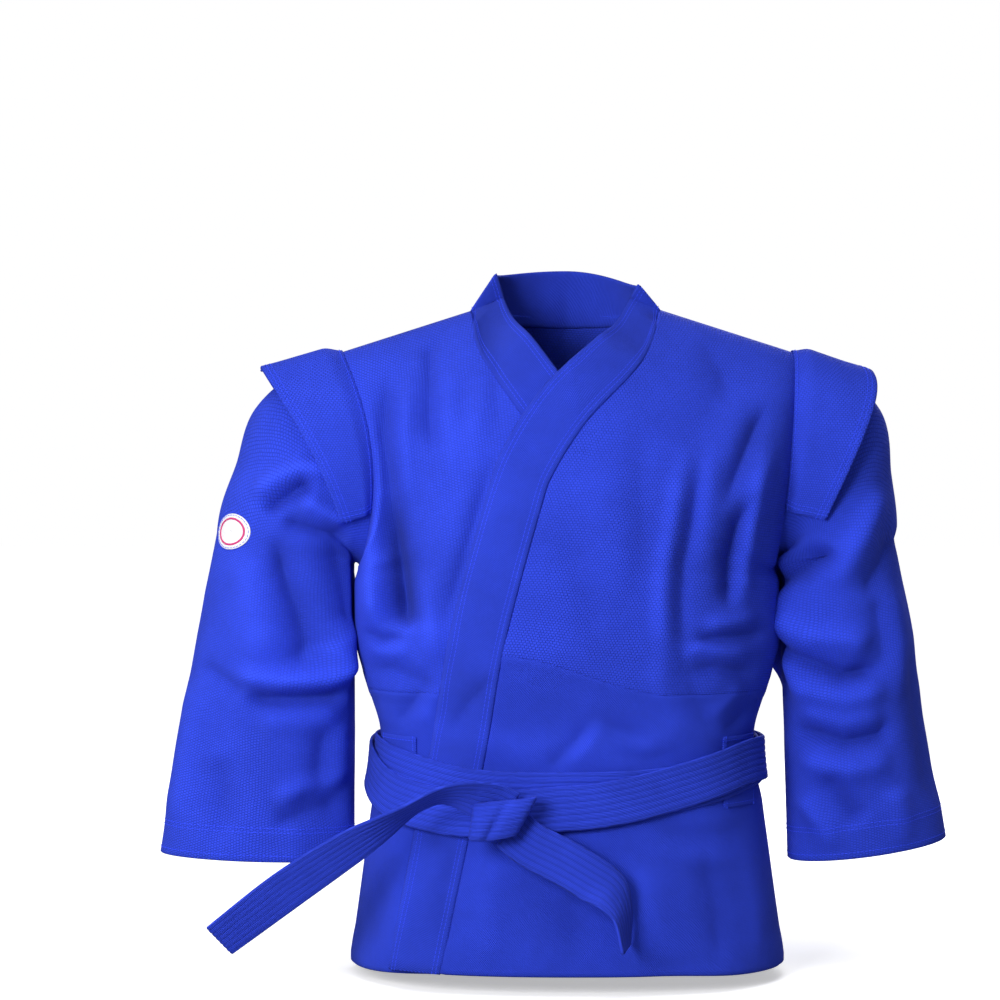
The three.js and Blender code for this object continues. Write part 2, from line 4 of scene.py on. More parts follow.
import bpy
import numpy as np
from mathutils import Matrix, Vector


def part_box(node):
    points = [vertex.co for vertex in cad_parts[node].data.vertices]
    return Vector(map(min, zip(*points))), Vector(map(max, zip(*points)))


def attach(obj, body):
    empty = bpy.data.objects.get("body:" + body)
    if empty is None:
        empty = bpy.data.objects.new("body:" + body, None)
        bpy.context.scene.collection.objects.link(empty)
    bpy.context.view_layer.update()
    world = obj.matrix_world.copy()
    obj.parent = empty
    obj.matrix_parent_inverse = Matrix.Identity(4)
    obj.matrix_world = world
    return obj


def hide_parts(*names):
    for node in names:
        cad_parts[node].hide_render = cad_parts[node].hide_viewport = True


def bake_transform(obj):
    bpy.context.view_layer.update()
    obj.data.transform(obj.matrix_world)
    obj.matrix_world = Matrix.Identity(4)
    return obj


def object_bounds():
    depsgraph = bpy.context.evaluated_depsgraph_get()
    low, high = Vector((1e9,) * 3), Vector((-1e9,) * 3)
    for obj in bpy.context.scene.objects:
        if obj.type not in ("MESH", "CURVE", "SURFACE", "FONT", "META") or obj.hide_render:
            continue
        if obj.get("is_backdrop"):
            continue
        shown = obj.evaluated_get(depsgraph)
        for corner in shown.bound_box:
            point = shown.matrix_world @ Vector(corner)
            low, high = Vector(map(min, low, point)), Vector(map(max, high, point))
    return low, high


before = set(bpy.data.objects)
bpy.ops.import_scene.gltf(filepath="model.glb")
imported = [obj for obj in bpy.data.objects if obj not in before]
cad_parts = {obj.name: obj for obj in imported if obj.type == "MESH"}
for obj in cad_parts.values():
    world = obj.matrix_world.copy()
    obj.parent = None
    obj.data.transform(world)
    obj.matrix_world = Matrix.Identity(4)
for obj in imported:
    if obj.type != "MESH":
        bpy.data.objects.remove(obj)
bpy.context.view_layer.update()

bl_info = {
    "name": "Wrap Jacket",
    "version": (1, 0, 0),
    "blender": (4, 5, 0),
    "location": "View3D > Sidebar > Jacket",
    "description": "Makes a wrestling jacket's cloth, folds, stitches and belt round its packed frame",
    "category": "Add Mesh",
}

MM = 0.001

# ---- The cut, in millimetres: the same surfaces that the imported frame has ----
SHOULDER_X, SHOULDER_DROP = 208, 38
NECK_X = 89
NECK_RISE = {"front": 17, "back": 62}
NECK_CURVE = {"front": 2, "back": 1.3}
ARMPIT_Z = -235
WAIST_SEAM_Z, WAIST_SEAM_RISE = -346, 36
BELT_Z, BELT_DIP = -409, 24
HEM_Z, HEM_SIDE_DROP = -590, 6
LAPEL_WIDTH = 47
COLLAR_STAND = 42
OVERLAP_LIFT = 6.9
SEAM_GAP = 0.3
SIDE_GAP = 0.8
HALF_WIDTH = [
    (HEM_Z, 198), (-540, 191), (-452, 179), (-418, 172.5), (-380, 172), (-348, 182),
    (-304, 194.5), (-267, 194.5), (-248, 194), (ARMPIT_Z, 190), (-190, 199), (-120, 206), (-30, 214),
]
FRONT_DEPTH = [
    (HEM_Z, 117), (-500, 110), (-418, 104), (-378, 106), (-304, 119), (ARMPIT_Z, 125), (0, 125),
]
BACK_DEPTH = [
    (HEM_Z, 108), (-500, 98), (-418, 84), (-378, 87), (-304, 98), (ARMPIT_Z, 108), (0, 106),
]
BOARD_HALF, BOARD_Z, BOARD_DEPTH = 70, (-212, -130), 100.4
ARMHOLE_DEPTH = {"front": 62, "back": 57}
SIDES = {
    "right": {
        "sign": -1, "front_x": 177, "back_x": 184, "pit_x": 190, "inner": 8,
        "reach": (197, 171, 146, 136), "depth": (62, 62, 58),
        "cuff_in": (197, -503), "cuff_out": (374, -497), "cuff_depth": 48, "cuff_y": -8,
        "wing": {"top": 75, "front": 62, "end": 26, "drop": 17, "ends": (118, 100)},
        "lean": (24, -318),
    },
    "left": {
        "sign": 1, "front_x": 199, "back_x": 186, "pit_x": 190, "inner": 8,
        "reach": (197, 172, 136, 115), "depth": (62, 66, 66),
        "cuff_in": (206, -505), "cuff_out": (350, -484), "cuff_depth": 60, "cuff_y": 4,
        "wing": {"top": 67, "front": 75, "end": 34, "drop": 20, "ends": (116, 100)},
        "lean": (26, -312),
    },
}
FAN_END = math.radians(77)
LAPELS = {
    "left": [
        (66, 24, 0.42, -0.52), (45, -12, 0.56, -0.54), (21, -33, 0.66, -0.66),
        (-23, -75, 0.78, -0.62), (-57, -127, 0.89, -0.46), (-73, -172, 0.96, -0.24),
        (-104, -288, 0.97, -0.22), (-123, -398, 0.97, -0.2), (-160, HEM_Z, 0.96, 0),
    ],
    "right": [
        (-66, 34, -0.48, -0.74), (-52, -6, -0.64, -0.6), (-30, -34, -0.76, -0.62),
        (14, -98, -0.85, -0.52), (45, -150, -0.88, -0.46), (64, -204, -0.93, -0.36),
        (97, -305, -0.97, -0.24), (112, -400, -0.98, -0.16), (126, HEM_Z, -0.97, 0),
    ],
}
BADGE = {"wide": 44, "high": 32, "along": -0.04, "around": 42}
WING_LIFT = 5.2
BELT_WIDTH = 38
BELT_OUT, BELT_OUT_BACK, BELT_SIDE_ROOM = 14.4, 5.05, 0.6
TURN_STEP = 5
# How far the jacket's folds are turned from the cloth's own normal towards the front or the back.
LEAD = 0.9
BACKDROP_TONE = 1.0
# Points round a sleeve, and rows above and below the place where it starts to hang straight.
SLEEVE_COLS, SLEEVE_ROWS = 160, (60, 92)
# The share of a panel's rows that lie beside the armhole.
ARMHOLE_ROWS = 0.68
PANEL_FADE = 14
# The edges that are stitched, and how far in.
SKIRT_STITCHES = [("top", 3), ("bottom", 12), ("bottom", 15)]
BACK_FOLD_GAIN, SLEEVE_FOLD_GAIN = 1.5, 1.25
LAPEL_ROWS, LAPEL_COLS = 200, 17
COLLAR_THICK, LINING_THICK, FACING_THICK, PATCH_THICK = 3.4, 1.6, 1.4, 1.6
FACING_HEIGHT = 34
PATCH_WIDE, PATCH_LONG = 42, 62
BELT_POINTS = 29
KNOT_DEEP = 8.8
KNOT_X, KNOT_Z = -58, -449
# The knot's loop: its low left, high left, low right and high right corners, as x and z.
KNOT_CORNERS = ((-88, -467), (-83, -436), (-49, -463), (-31, -431))

# ---- Folds, in millimetres ----
# Each fold is a line of (x, z) points on the cloth, how far it stands out (a valley is negative),
# how wide it is and, for some, over what shares of its length it rises and falls.
FRONT_FOLDS = [
    (
        [(-159, -45), (-165, -82), (-166, -116), (-160, -164), (-154, -216), (-147, -269), (-145, -290)],
        -11, 10, 0.25, 0.1,
    ),
    ([(-158, -166), (-153, -216), (-147, -262), (-144, -293)], -22, 13, 0.55, 0.12),
    ([(-180, -112), (-181, -186), (-181, -230), (-178, -272), (-172, -302)], 22, 12, 0.35, 0.2),
    ([(-188, -289), (-168, -299), (-144, -295)], -8, 6),
    ([(-186, -306), (-160, -310), (-138, -304)], 5, 8),
    ([(-146, -56), (-147, -120), (-142, -196)], 5, 8),
    ([(-108, -18), (-126, -42), (-125, -69), (-125, -104), (-120, -146)], -9, 8.5),
    ([(-104, -50), (-108, -100), (-100, -160)], 3.4, 9),
    ([(-134, -230), (-126, -280), (-116, -322)], 6, 10),
    ([(-186, -330), (-160, -324), (-130, -334), (-108, -350)], -6, 8),
    ([(-66, -130), (-86, -200), (-104, -262), (-112, -300)], -7, 9),
    ([(-74, -60), (-84, -110), (-88, -160)], 3, 12),
    ([(-64, -30), (-66, -80), (-60, -120)], -3, 10),
    ([(118, -22), (136, -60), (146, -96)], -4, 12),
    ([(180, -84), (166, -108), (155, -132), (142, -162), (134, -186)], -11, 10),
    ([(170, -160), (148, -196), (140, -227), (139, -276)], -15, 10, 0.4, 0.2),
    ([(182, -118), (169, -156), (160, -200), (156, -244), (150, -276)], 9, 9),
    ([(124, -120), (120, -170), (118, -240)], 3, 10),
    ([(106, -112), (97, -156), (90, -192), (83, -228), (80, -262), (82, -300), (85, -340)], 6.5, 9),
    ([(122, -118), (113, -156), (107, -192), (99, -228), (97, -262), (99, -300), (102, -338)], -6.5, 8.5),
    ([(60, -90), (62, -170), (60, -260)], -3, 16),
    ([(100, -298), (140, -294), (184, -290)], -8, 6.5),
    ([(112, -286), (140, -283), (172, -279)], 6, 7),
    ([(94, -312), (114, -305), (136, -309), (168, -314)], 5.5, 6.5),
    ([(100, -323), (131, -322), (172, -329)], -7, 7),
    ([(158, -336), (140, -354), (118, -370)], 4, 8),
    ([(172, -348), (154, -366), (134, -384)], -5, 8),
    ([(20, -366), (0, -392), (-26, -414)], -5, 8),
    ([(36, -360), (16, -388), (-6, -412)], 3, 8),
    ([(8, -362), (40, -374), (78, -388)], -4, 7),
    ([(26, -394), (66, -402), (104, -396)], -3.6, 8),
    ([(96, -300), (112, -350), (134, -392)], -4, 11),
    ([(72, -310), (84, -350), (104, -388)], 3.2, 11),
    ([(-60, -322), (-88, -352), (-110, -386)], -3.6, 9),
    ([(-126, -334), (-140, -356), (-156, -380)], -4.5, 8),
    ([(-108, -330), (-122, -352), (-134, -378)], 3, 8),
    ([(20, -130), (38, -200), (46, -270)], 3, 20),
    ([(-14, -190), (8, -244), (26, -310)], -2.6, 15),
    ([(60, -456), (110, -468), (170, -474)], -4, 9),
    ([(50, -476), (100, -488), (168, -494)], 3, 10),
    ([(-96, -466), (-110, -520), (-114, -584)], -5, 13),
    ([(-140, -452), (-150, -520), (-156, -596)], 5.5, 13),
    ([(-60, -476), (-72, -530), (-76, -590)], 3.4, 14),
    ([(10, -466), (6, -520), (-4, -592)], -4, 16),
    ([(62, -480), (72, -530), (76, -592)], 5, 16),
    ([(116, -482), (128, -530), (132, -592)], -6, 14),
    ([(158, -470), (168, -530), (172, -596)], 4, 12),
]
BACK_FOLDS = [
    ([(-164, -60), (-160, -130), (-148, -210), (-128, -280)], -7, 12),
    ([(164, -60), (160, -130), (148, -210), (128, -280)], -7, 12),
    ([(-138, -70), (-134, -150), (-118, -230)], 4.5, 13),
    ([(138, -70), (134, -150), (118, -230)], 4.5, 13),
    ([(-104, -40), (-100, -120), (-84, -200)], -3.5, 13),
    ([(104, -40), (96, -120), (86, -210)], -3.5, 13),
    ([(-182, -246), (-130, -282), (-64, -302)], -6, 10),
    ([(182, -240), (126, -274), (66, -298)], -6, 10),
    ([(-180, -268), (-138, -310), (-104, -366)], 6, 12),
    ([(180, -262), (134, -306), (100, -364)], 6, 12),
    ([(-176, -300), (-146, -340), (-128, -378)], -5, 10),
    ([(178, -296), (150, -338), (130, -378)], -5, 10),
    ([(-30, -240), (-24, -310), (-34, -384)], -4.5, 16),
    ([(4, -250), (8, -310), (2, -384)], 4, 15),
    ([(42, -236), (48, -310), (36, -386)], -4.5, 16),
    ([(-88, -326), (-78, -356), (-82, -390)], -5.5, 9),
    ([(70, -322), (80, -356), (76, -390)], -5.5, 9),
    ([(-120, -438), (-132, -510), (-138, -592)], -7, 14),
    ([(-92, -442), (-94, -516), (-98, -592)], 5, 13),
    ([(-58, -444), (-54, -520), (-58, -592)], -5, 14),
    ([(-22, -440), (-18, -510), (-20, -592)], 5, 15),
    ([(18, -440), (16, -510), (22, -592)], -6, 15),
    ([(60, -446), (66, -520), (64, -592)], 5, 14),
    ([(98, -442), (104, -520), (106, -592)], -6, 13),
    ([(140, -440), (148, -520), (154, -592)], 5.5, 13),
]
SLEEVE_FOLDS = {
    "right": {
        "front": [
            ([(-286, -176), (-262, -156), (-240, -146), (-204, -146)], 9, 10),
            ([(-280, -184), (-257, -171), (-241, -161), (-226, -164)], -11, 8),
            ([(-242, -170), (-220, -184), (-196, -192)], 8, 8.5),
            ([(-262, -190), (-230, -202), (-196, -212)], -8, 8),
            ([(-268, -200), (-258, -238), (-246, -272), (-241, -304), (-250, -338)], -11, 10),
            ([(-292, -214), (-284, -270), (-270, -326)], 6, 17),
            ([(-232, -300), (-222, -322), (-212, -338)], 6, 10),
            ([(-222, -206), (-218, -250), (-214, -300)], -9, 14),
            ([(-300, -350), (-270, -354), (-236, -353), (-196, -350)], -12, 8),
            ([(-308, -330), (-262, -338), (-206, -336)], 8, 9),
            ([(-340, -322), (-320, -332), (-292, -352)], -4, 8),
            ([(-286, -372), (-244, -374), (-204, -368)], 4, 12),
            ([(-206, -372), (-207, -404), (-208, -436)], 4, 9),
            ([(-220, -376), (-224, -410), (-228, -444)], -4, 10),
            ([(-270, -450), (-240, -433), (-198, -428)], 5, 9),
            ([(-270, -472), (-236, -456), (-198, -448)], -5, 13),
            ([(-318, -400), (-312, -440), (-316, -492)], -4.5, 14),
            ([(-342, -330), (-350, -400), (-356, -480)], 4, 16),
            ([(-252, -462), (-246, -484), (-244, -504)], 4, 13),
        ],
        "back": [
            ([(-200, -226), (-240, -258), (-296, -268)], -11, 10),
            ([(-200, -250), (-234, -288), (-286, -304)], 9, 12),
            ([(-200, -286), (-236, -318), (-290, -330)], -7, 10),
            ([(-198, -340), (-250, -352), (-334, -344)], -12, 9),
            ([(-200, -320), (-250, -332), (-320, -322)], 8, 11),
            ([(-200, -372), (-250, -382), (-320, -374)], 7, 13),
            ([(-202, -404), (-246, -414), (-300, -402)], -7, 11),
            ([(-310, -230), (-334, -300), (-344, -380)], 5, 18),
            ([(-250, -416), (-258, -456), (-252, -498)], -7, 13),
            ([(-290, -420), (-300, -460), (-300, -498)], 5, 14),
            ([(-230, -120), (-262, -160), (-276, -210)], -6, 13),
        ],
    },
    "left": {
        "front": [
            ([(240, -214), (220, -240), (196, -258)], -13, 11),
            ([(284, -156), (262, -206), (236, -258)], 7, 12),
            ([(300, -196), (284, -232), (262, -262)], -5, 11),
            ([(204, -276), (230, -296), (276, -306)], 7, 11),
            ([(194, -290), (217, -314), (246, -332), (290, -324)], -12, 8),
            ([(204, -342), (250, -354), (290, -344)], 6.5, 11),
            ([(198, -380), (248, -393), (282, -386), (294, -366)], -9, 8),
            ([(206, -364), (250, -374), (286, -366)], 4, 9),
            ([(206, -408), (252, -418), (296, -408)], 6, 11),
            ([(228, -420), (248, -444), (268, -468)], -8, 11),
            ([(210, -440), (234, -470), (240, -496)], 6, 10),
            ([(286, -242), (298, -300), (302, -360)], 4.5, 12),
            ([(276, -258), (284, -300), (286, -330)], -4, 10),
            ([(310, -300), (324, -380), (334, -460)], -4, 14),
            ([(292, -430), (300, -460), (304, -490)], 5, 12),
        ],
        "back": [
            ([(204, -228), (240, -258), (290, -262)], -11, 10),
            ([(204, -252), (234, -288), (284, -300)], 9, 12),
            ([(204, -288), (238, -318), (286, -326)], -7, 10),
            ([(206, -340), (252, -352), (312, -340)], -12, 9),
            ([(206, -320), (250, -332), (306, -320)], 8, 11),
            ([(208, -374), (250, -384), (308, -372)], 7, 13),
            ([(208, -406), (246, -416), (300, -402)], -7, 11),
            ([(290, -230), (308, -300), (318, -380)], 5, 16),
            ([(258, -416), (264, -456), (258, -496)], -7, 13),
            ([(296, -420), (306, -456), (306, -490)], 5, 13),
            ([(232, -120), (262, -160), (274, -210)], -6, 13),
        ],
    },
}


# ---- Curves and shares ----

def lerp(a, b, t):
    return a + (b - a) * t


def smoothstep(x, low, high):
    t = np.clip((x - low) / (high - low), 0, 1)
    return t * t * (3 - 2 * t)


def spread(across):
    """Shares that lie closer together towards the side."""
    return np.sin(across * np.pi / 2)


def read(pairs, at):
    """A smooth line through (place, value) pairs, read at places."""
    place, value = np.array(pairs, float).T
    order = np.arange(len(place))
    low, high = np.maximum(order - 1, 0), np.minimum(order + 1, len(place) - 1)
    slope = (value[high] - value[low]) / (place[high] - place[low])
    x = np.clip(at, place[0], place[-1])
    i = np.clip(np.searchsorted(place, x) - 1, 0, len(place) - 2)
    h = place[i + 1] - place[i]
    t = (x - place[i]) / h
    t2, t3 = t * t, t * t * t
    return (
        (2 * t3 - 3 * t2 + 1) * value[i] + (t3 - 2 * t2 + t) * h * slope[i]
        + (3 * t2 - 2 * t3) * value[i + 1] + (t3 - t2) * h * slope[i + 1]
    )


def panel_rows(count):
    """Places down a panel, at even heights: 0 on the shoulder, 1 at the armpit, 2 on the waist seam."""
    beside = np.arccos(1 - 2 * np.linspace(0, 1, round(count * ARMHOLE_ROWS))) / np.pi
    return np.concatenate([beside, np.linspace(1, 2, round(count * (1 - ARMHOLE_ROWS)))[1:]])


def grid_of(x, y, z):
    return np.stack(np.broadcast_arrays(x, y, z), axis=-1).astype(float)


# ---- The jacket's surfaces ----

def ridge(x, face="front"):
    away = np.abs(x)
    fall = (away - NECK_X) / (SHOULDER_X - NECK_X) * -SHOULDER_DROP
    return fall + NECK_RISE[face] * np.maximum(0, 1 - away / NECK_X) ** NECK_CURVE[face]


def depth(x, z, face):
    """How far the cloth stands out at a place, on the front or the back."""
    across = np.clip(np.abs(x) / read(HALF_WIDTH, z), 0, 1)
    full = read(FRONT_DEPTH if face == "front" else BACK_DEPTH, z)
    up = np.clip((z - ARMPIT_Z) / (ridge(x, face) - ARMPIT_Z), 0, 1)
    bulk = full * (1 - across ** 2.6) ** (1 / 2.2) * (1 - up * up) ** 0.6
    if face == "front":
        return bulk
    near = (
        (1 - smoothstep(np.abs(x), BOARD_HALF, BOARD_HALF + 45))
        * smoothstep(z, BOARD_Z[0] - 50, BOARD_Z[0]) * (1 - smoothstep(z, BOARD_Z[1], BOARD_Z[1] + 45))
    )
    return lerp(bulk, BOARD_DEPTH, np.where(z < ARMPIT_Z - 60, 0, near))


def lift(side, x, z):
    """The left front lies over the right one."""
    if side != "left":
        return 0 * x
    across = x / read(HALF_WIDTH, z)
    return OVERLAP_LIFT * (1 - smoothstep(across, 0.68, 0.94)) * (1 - smoothstep(z, -52, -12))


def front_y(side, x, z):
    return -depth(x, z, "front") - lift(side, x, z) - SIDE_GAP / 2


def back_y(x, z):
    return depth(x, z, "back") + SIDE_GAP / 2


def armhole(side, turn, face):
    s = SIDES[side]
    sin, down = np.abs(np.sin(turn)), (1 - np.cos(turn)) / 2
    inset = lerp(SHOULDER_X, s["pit_x"], 0.5) - np.where(face == "front", s["front_x"], s["back_x"])
    x = lerp(SHOULDER_X, s["pit_x"], down) - inset * sin * sin
    out = np.where(face == "front", ARMHOLE_DEPTH["front"], ARMHOLE_DEPTH["back"])
    y = np.where(face == "front", -1, 1) * (out * sin + SIDE_GAP / 2)
    return s["sign"] * x, y, lerp(-SHOULDER_DROP, ARMPIT_Z, down)


def lapel_line(side, share):
    """A lapel's free edge and seam, as x and z, at shares of its length."""
    rows = np.array(LAPELS[side], float)
    last = len(rows) - 1
    places = np.arange(len(rows)) / last
    edge_x, edge_z, to_x, to_z = (read(np.stack([places, rows[:, k]], 1), share) for k in range(4))
    first = rows[0]
    start = ridge(first[0] + LAPEL_WIDTH * first[2]) - first[1] - LAPEL_WIDTH * first[3]
    seam_z = edge_z + LAPEL_WIDTH * to_z + start * np.maximum(0, 1 - share * last)
    return edge_x, edge_z, edge_x + LAPEL_WIDTH * to_x, seam_z


def share_at(side, z):
    """The share of the lapel's length at which its seam is at a height."""
    low, high = np.zeros(np.shape(z)), np.ones(np.shape(z))
    for _ in range(30):
        mid = (low + high) / 2
        above = lapel_line(side, mid)[3] > z
        low, high = np.where(above, mid, low), np.where(above, high, mid)
    return (low + high) / 2


def waist_seam(side, x):
    rise = WAIST_SEAM_RISE * (1 - smoothstep(x, -70, 100)) if side == "left" else 0 * x
    return WAIST_SEAM_Z + rise


def hem_at(x):
    return HEM_Z - HEM_SIDE_DROP * smoothstep(np.abs(x), 90, 190)


def seam_x(side, z):
    return lapel_line(side, share_at(side, z))[2]


def front_grid(side, down, across):
    """down is 0 on the shoulder, 1 at the armpit and 2 on the waist seam."""
    s, sign = SIDES[side], SIDES[side]["sign"]
    share = spread(across)[None, :]
    top, low = down[down <= 1][:, None], down[down > 1][:, None]
    fall = (1 - np.cos(np.pi * top)) / 2
    seam_z = lerp(lapel_line(side, np.array(0.0))[3], ARMPIT_Z, fall)
    arm_x, arm_y, arm_z = armhole(side, np.pi * top, "front")
    x = lerp(seam_x(side, seam_z) + sign * SEAM_GAP, arm_x, share)
    z = lerp(seam_z, arm_z, share)
    pull = arm_y - front_y(side, arm_x, arm_z)
    y = front_y(side, x, z) + pull * smoothstep(share, 0.5 + 0.47 * smoothstep(top, 0.6, 1), 1)
    upper = grid_of(x, np.where(top == 0, -SIDE_GAP / 2, y), z)
    edge = seam_x(side, waist_seam(side, np.array(0.0)))
    line = waist_seam(side, lerp(edge, sign * s["pit_x"], share)) + SEAM_GAP / 2
    z = lerp(ARMPIT_Z, line, low - 1)
    x = lerp(seam_x(side, z) + sign * SEAM_GAP, sign * read(HALF_WIDTH, z), share)
    return np.concatenate([upper, grid_of(x, front_y(side, x, z), z)])


def skirt_grid(side, down, across):
    s, sign = SIDES[side], SIDES[side]["sign"]
    share, down = spread(across)[None, :], down[:, None]
    edge = seam_x(side, waist_seam(side, np.array(0.0)))
    reach = lerp(edge, sign * s["pit_x"], share)
    z = lerp(waist_seam(side, reach) - SEAM_GAP / 2, hem_at(reach), down)
    line = seam_x(side, np.maximum(z, HEM_Z)) + sign * SEAM_GAP
    x = lerp(line, sign * read(HALF_WIDTH, z), share)
    return grid_of(x, front_y(side, x, z), z)


def back_grid(down, across):
    """across runs from -1 to 1; down is as on the fronts, and reaches 3 at the hem."""
    share, down = spread(across)[None, :], down[:, None]
    sign, away = np.where(share < 0, -1, 1), np.abs(share)
    top_x = away * SHOULDER_X
    top_z = np.where(top_x < NECK_X, ridge(NECK_X), ridge(top_x))
    arms = [armhole(side, np.pi * np.minimum(down, 1), "back") for side in ("right", "left")]
    arm_x, arm_y, arm_z = (np.where(share < 0, a, b) for a, b in zip(*arms))
    x = away * np.abs(arm_x)
    z = lerp(top_z, ARMPIT_Z, (1 - np.cos(np.pi * np.minimum(down, 1))) / 2)
    pull = arm_y - back_y(arm_x, arm_z)
    y = back_y(x, z) + pull * smoothstep(away, 0.55 + 0.42 * smoothstep(down, 0.6, 1), 1)
    y = np.where((down == 0) & (top_x >= NECK_X), SIDE_GAP / 2, y)
    waist = WAIST_SEAM_Z + SEAM_GAP / 2
    low_z = np.where(
        down <= 2, lerp(ARMPIT_Z, waist, down - 1), lerp(waist - SEAM_GAP, hem_at(top_x), down - 2)
    )
    low_x = away * read(HALF_WIDTH, low_z)
    upper = down <= 1
    return grid_of(
        sign * np.where(upper, x, low_x), np.where(upper, y, back_y(low_x, low_z)), np.where(upper, z, low_z)
    )


def lapel_grid(side, along, across):
    share, a = along[:, None], across[None, :]
    edge_x, edge_z, line_x, line_z = lapel_line(side, share)
    x, z = lerp(edge_x, line_x, a), lerp(edge_z, line_z, a)
    stand = 1 - smoothstep(share, 0, 0.24)
    hugging = 1 - 0.75 * stand * (1 - a) ** 0.7
    top = 1 - smoothstep(share, 0, 0.06)
    return grid_of(x, lerp(front_y(side, x, z) * hugging, -SIDE_GAP / 2 - 5 * (1 - a), top), z)


def collar_grid(turn, across):
    turn, a = turn[:, None], across[None, :]
    near, behind = np.abs(np.sin(turn)), np.cos(turn)
    ends = {side: lapel_line(side, np.array(0.0)) for side in SIDES}
    edge_x, edge_z, line_x, line_z = (
        np.where(turn < 0, ends["right"][k], ends["left"][k]) for k in range(4)
    )
    low, high = np.abs(line_x) * near, np.abs(edge_x) * near
    low_z = lerp(ridge(NECK_X) - 9, line_z, near ** 6)
    high_z = lerp(COLLAR_STAND, edge_z, near * near)
    low_y = np.maximum(back_y(low, ridge(NECK_X) - 9) - 2.6, 0.5) * (1 - near ** 8) + SEAM_GAP / 2
    return grid_of(
        np.where(turn < 0, -1, 1) * lerp(low, high, a),
        lerp(low_y, 54 * behind + 1, a) + SEAM_GAP, lerp(low_z, high_z, a),
    )


def sleeve_grid(side, place, turn, stand=0.0):
    """place is 0 at the armhole, 1 where the sleeve hangs straight and 2 at the cuff."""
    s, sign = SIDES[side], SIDES[side]["sign"]
    place, turn = place[:, None], turn[None, :]
    share = (1 + np.cos(turn)) / 2

    def fan(f):
        angle = FAN_END * f
        reach = read(list(zip((0, 0.42, 0.66, 1), s["reach"])), f)
        wide = read(list(zip((0, 0.5, 1), s["depth"])), f)
        out = lerp(s["inner"], reach, share) + stand * np.cos(turn)
        return np.stack(np.broadcast_arrays(
            s["pit_x"] + np.sin(angle) * out, -(wide + stand) * np.sin(turn), ARMPIT_Z + np.cos(angle) * out
        ), -1)

    face = np.where(np.sin(turn) < 0, "back", "front")
    x, y, z = armhole(side, np.abs(turn), face)
    edge = grid_of(x * sign + SEAM_GAP, y, z)
    upper = fan(np.minimum(place, 1))
    upper = upper + (edge - fan(0 * place[:1])) * ((1 - np.minimum(place, 1)) ** 2)[..., None]
    t, end = np.maximum(place - 1, 0), fan(np.ones((1, 1)))
    out_x = s["pit_x"] + np.sin(FAN_END) * (s["reach"][-1] + stand)
    in_x = s["pit_x"] + np.sin(FAN_END) * (s["inner"] - stand)
    cuff_x = lerp(s["cuff_in"][0] - stand, s["cuff_out"][0] + stand, share)
    x = lerp(lerp(in_x, out_x, share), cuff_x, t)
    y = lerp(end[..., 1], s["cuff_y"] - (s["cuff_depth"] + stand) * np.sin(turn), t)
    z = lerp(end[..., 2], lerp(s["cuff_in"][1], s["cuff_out"][1], share), t)
    grid = np.where((place <= 1)[..., None], upper, grid_of(x, y, z))
    grid[..., 0] *= sign
    return grid


def wing_grid(side, across, out, stand):
    """across runs from the back end to the front end, out from the seam to the tip."""
    s, w = SIDES[side], SIDES[side]["wing"]
    across, out = across[:, None], out[None, :]
    away, face = np.abs(across), np.where(across < 0, "back", "front")
    turn = np.radians(np.where(across < 0, w["ends"][1], w["ends"][0])) * away
    long = read([(0, w["top"]), (0.45, (w["top"] + w["front"]) / 2), (1, w["end"])], away)
    x, y, z = armhole(side, turn, face)
    wide = np.sin(turn)
    up_y = np.where(face == "front", -1, 1) * wide
    up_z = np.cos(turn) * (1 - 0.1 * out)
    flat = long * out
    drop = w["drop"] * out * np.cos(turn / 2) ** 2 + flat * 0.1 * (1 - wide)
    clear = lerp(1.3 + stand * 0.35, WING_LIFT + stand, smoothstep(out, 0, 0.25)) + 9 * out * wide
    return grid_of(x + s["sign"] * (SEAM_GAP + flat), y + up_y * clear, z + up_z * clear - drop * 0.9)


def belt_ring(turn, out, z):
    """The belt's middle round the jacket. turn is 0 at the front and grows towards the left side."""
    sin, cos = np.sin(turn), np.cos(turn)
    wide = read(HALF_WIDTH, z) + BELT_OUT_BACK + BELT_SIDE_ROOM + out
    front = cos > 0
    full = np.where(front, read(FRONT_DEPTH, z) + BELT_OUT, read(BACK_DEPTH, z) + BELT_OUT_BACK)
    full = full + SIDE_GAP / 2 + out
    x = wide * np.sign(sin) * np.abs(sin) ** (2 / 2.6)
    return grid_of(x, -full * np.sign(cos) * np.abs(cos) ** (2 / 2.2), z)


# ---- Folds ----

def stroke(x, z, points, deep, wide, rise=0.3, fall=0.3):
    """A fold that stands out by deep along a line of points and dies away at its ends."""
    points = np.array(points, float)
    best, along = np.full(np.shape(x), 1e9), np.zeros(np.shape(x))
    steps = np.linalg.norm(np.diff(points, axis=0), axis=1)
    run = 0.0
    for a, b, long in zip(points[:-1], points[1:], steps):
        d = (b - a) / long
        t = np.clip((x - a[0]) * d[0] + (z - a[1]) * d[1], 0, long)
        off = np.hypot(x - a[0] - t * d[0], z - a[1] - t * d[1])
        along = np.where(off < best, (run + t) / steps.sum(), along)
        best = np.minimum(best, off)
        run += long
    fade = smoothstep(along, 0, rise) * (1 - smoothstep(along, 1 - fall, 1))
    return deep * fade * np.exp(-((best / wide) ** (2 if deep > 0 else 1.5)))


def wander(x, z, seed=0.0):
    """Slow unevenness between about -1 and 1."""
    return (
        np.sin(x / 31 + 1.3 * np.sin(z / 57 + seed) + seed) * 0.4
        + np.sin(z / 43 - 1.1 * np.sin(x / 49 + 2 * seed) + 1.7 * seed) * 0.35
        + np.sin((x + z) / 19 + 1.6 * np.sin((x - z) / 37) + 0.6 * seed) * 0.25
    )


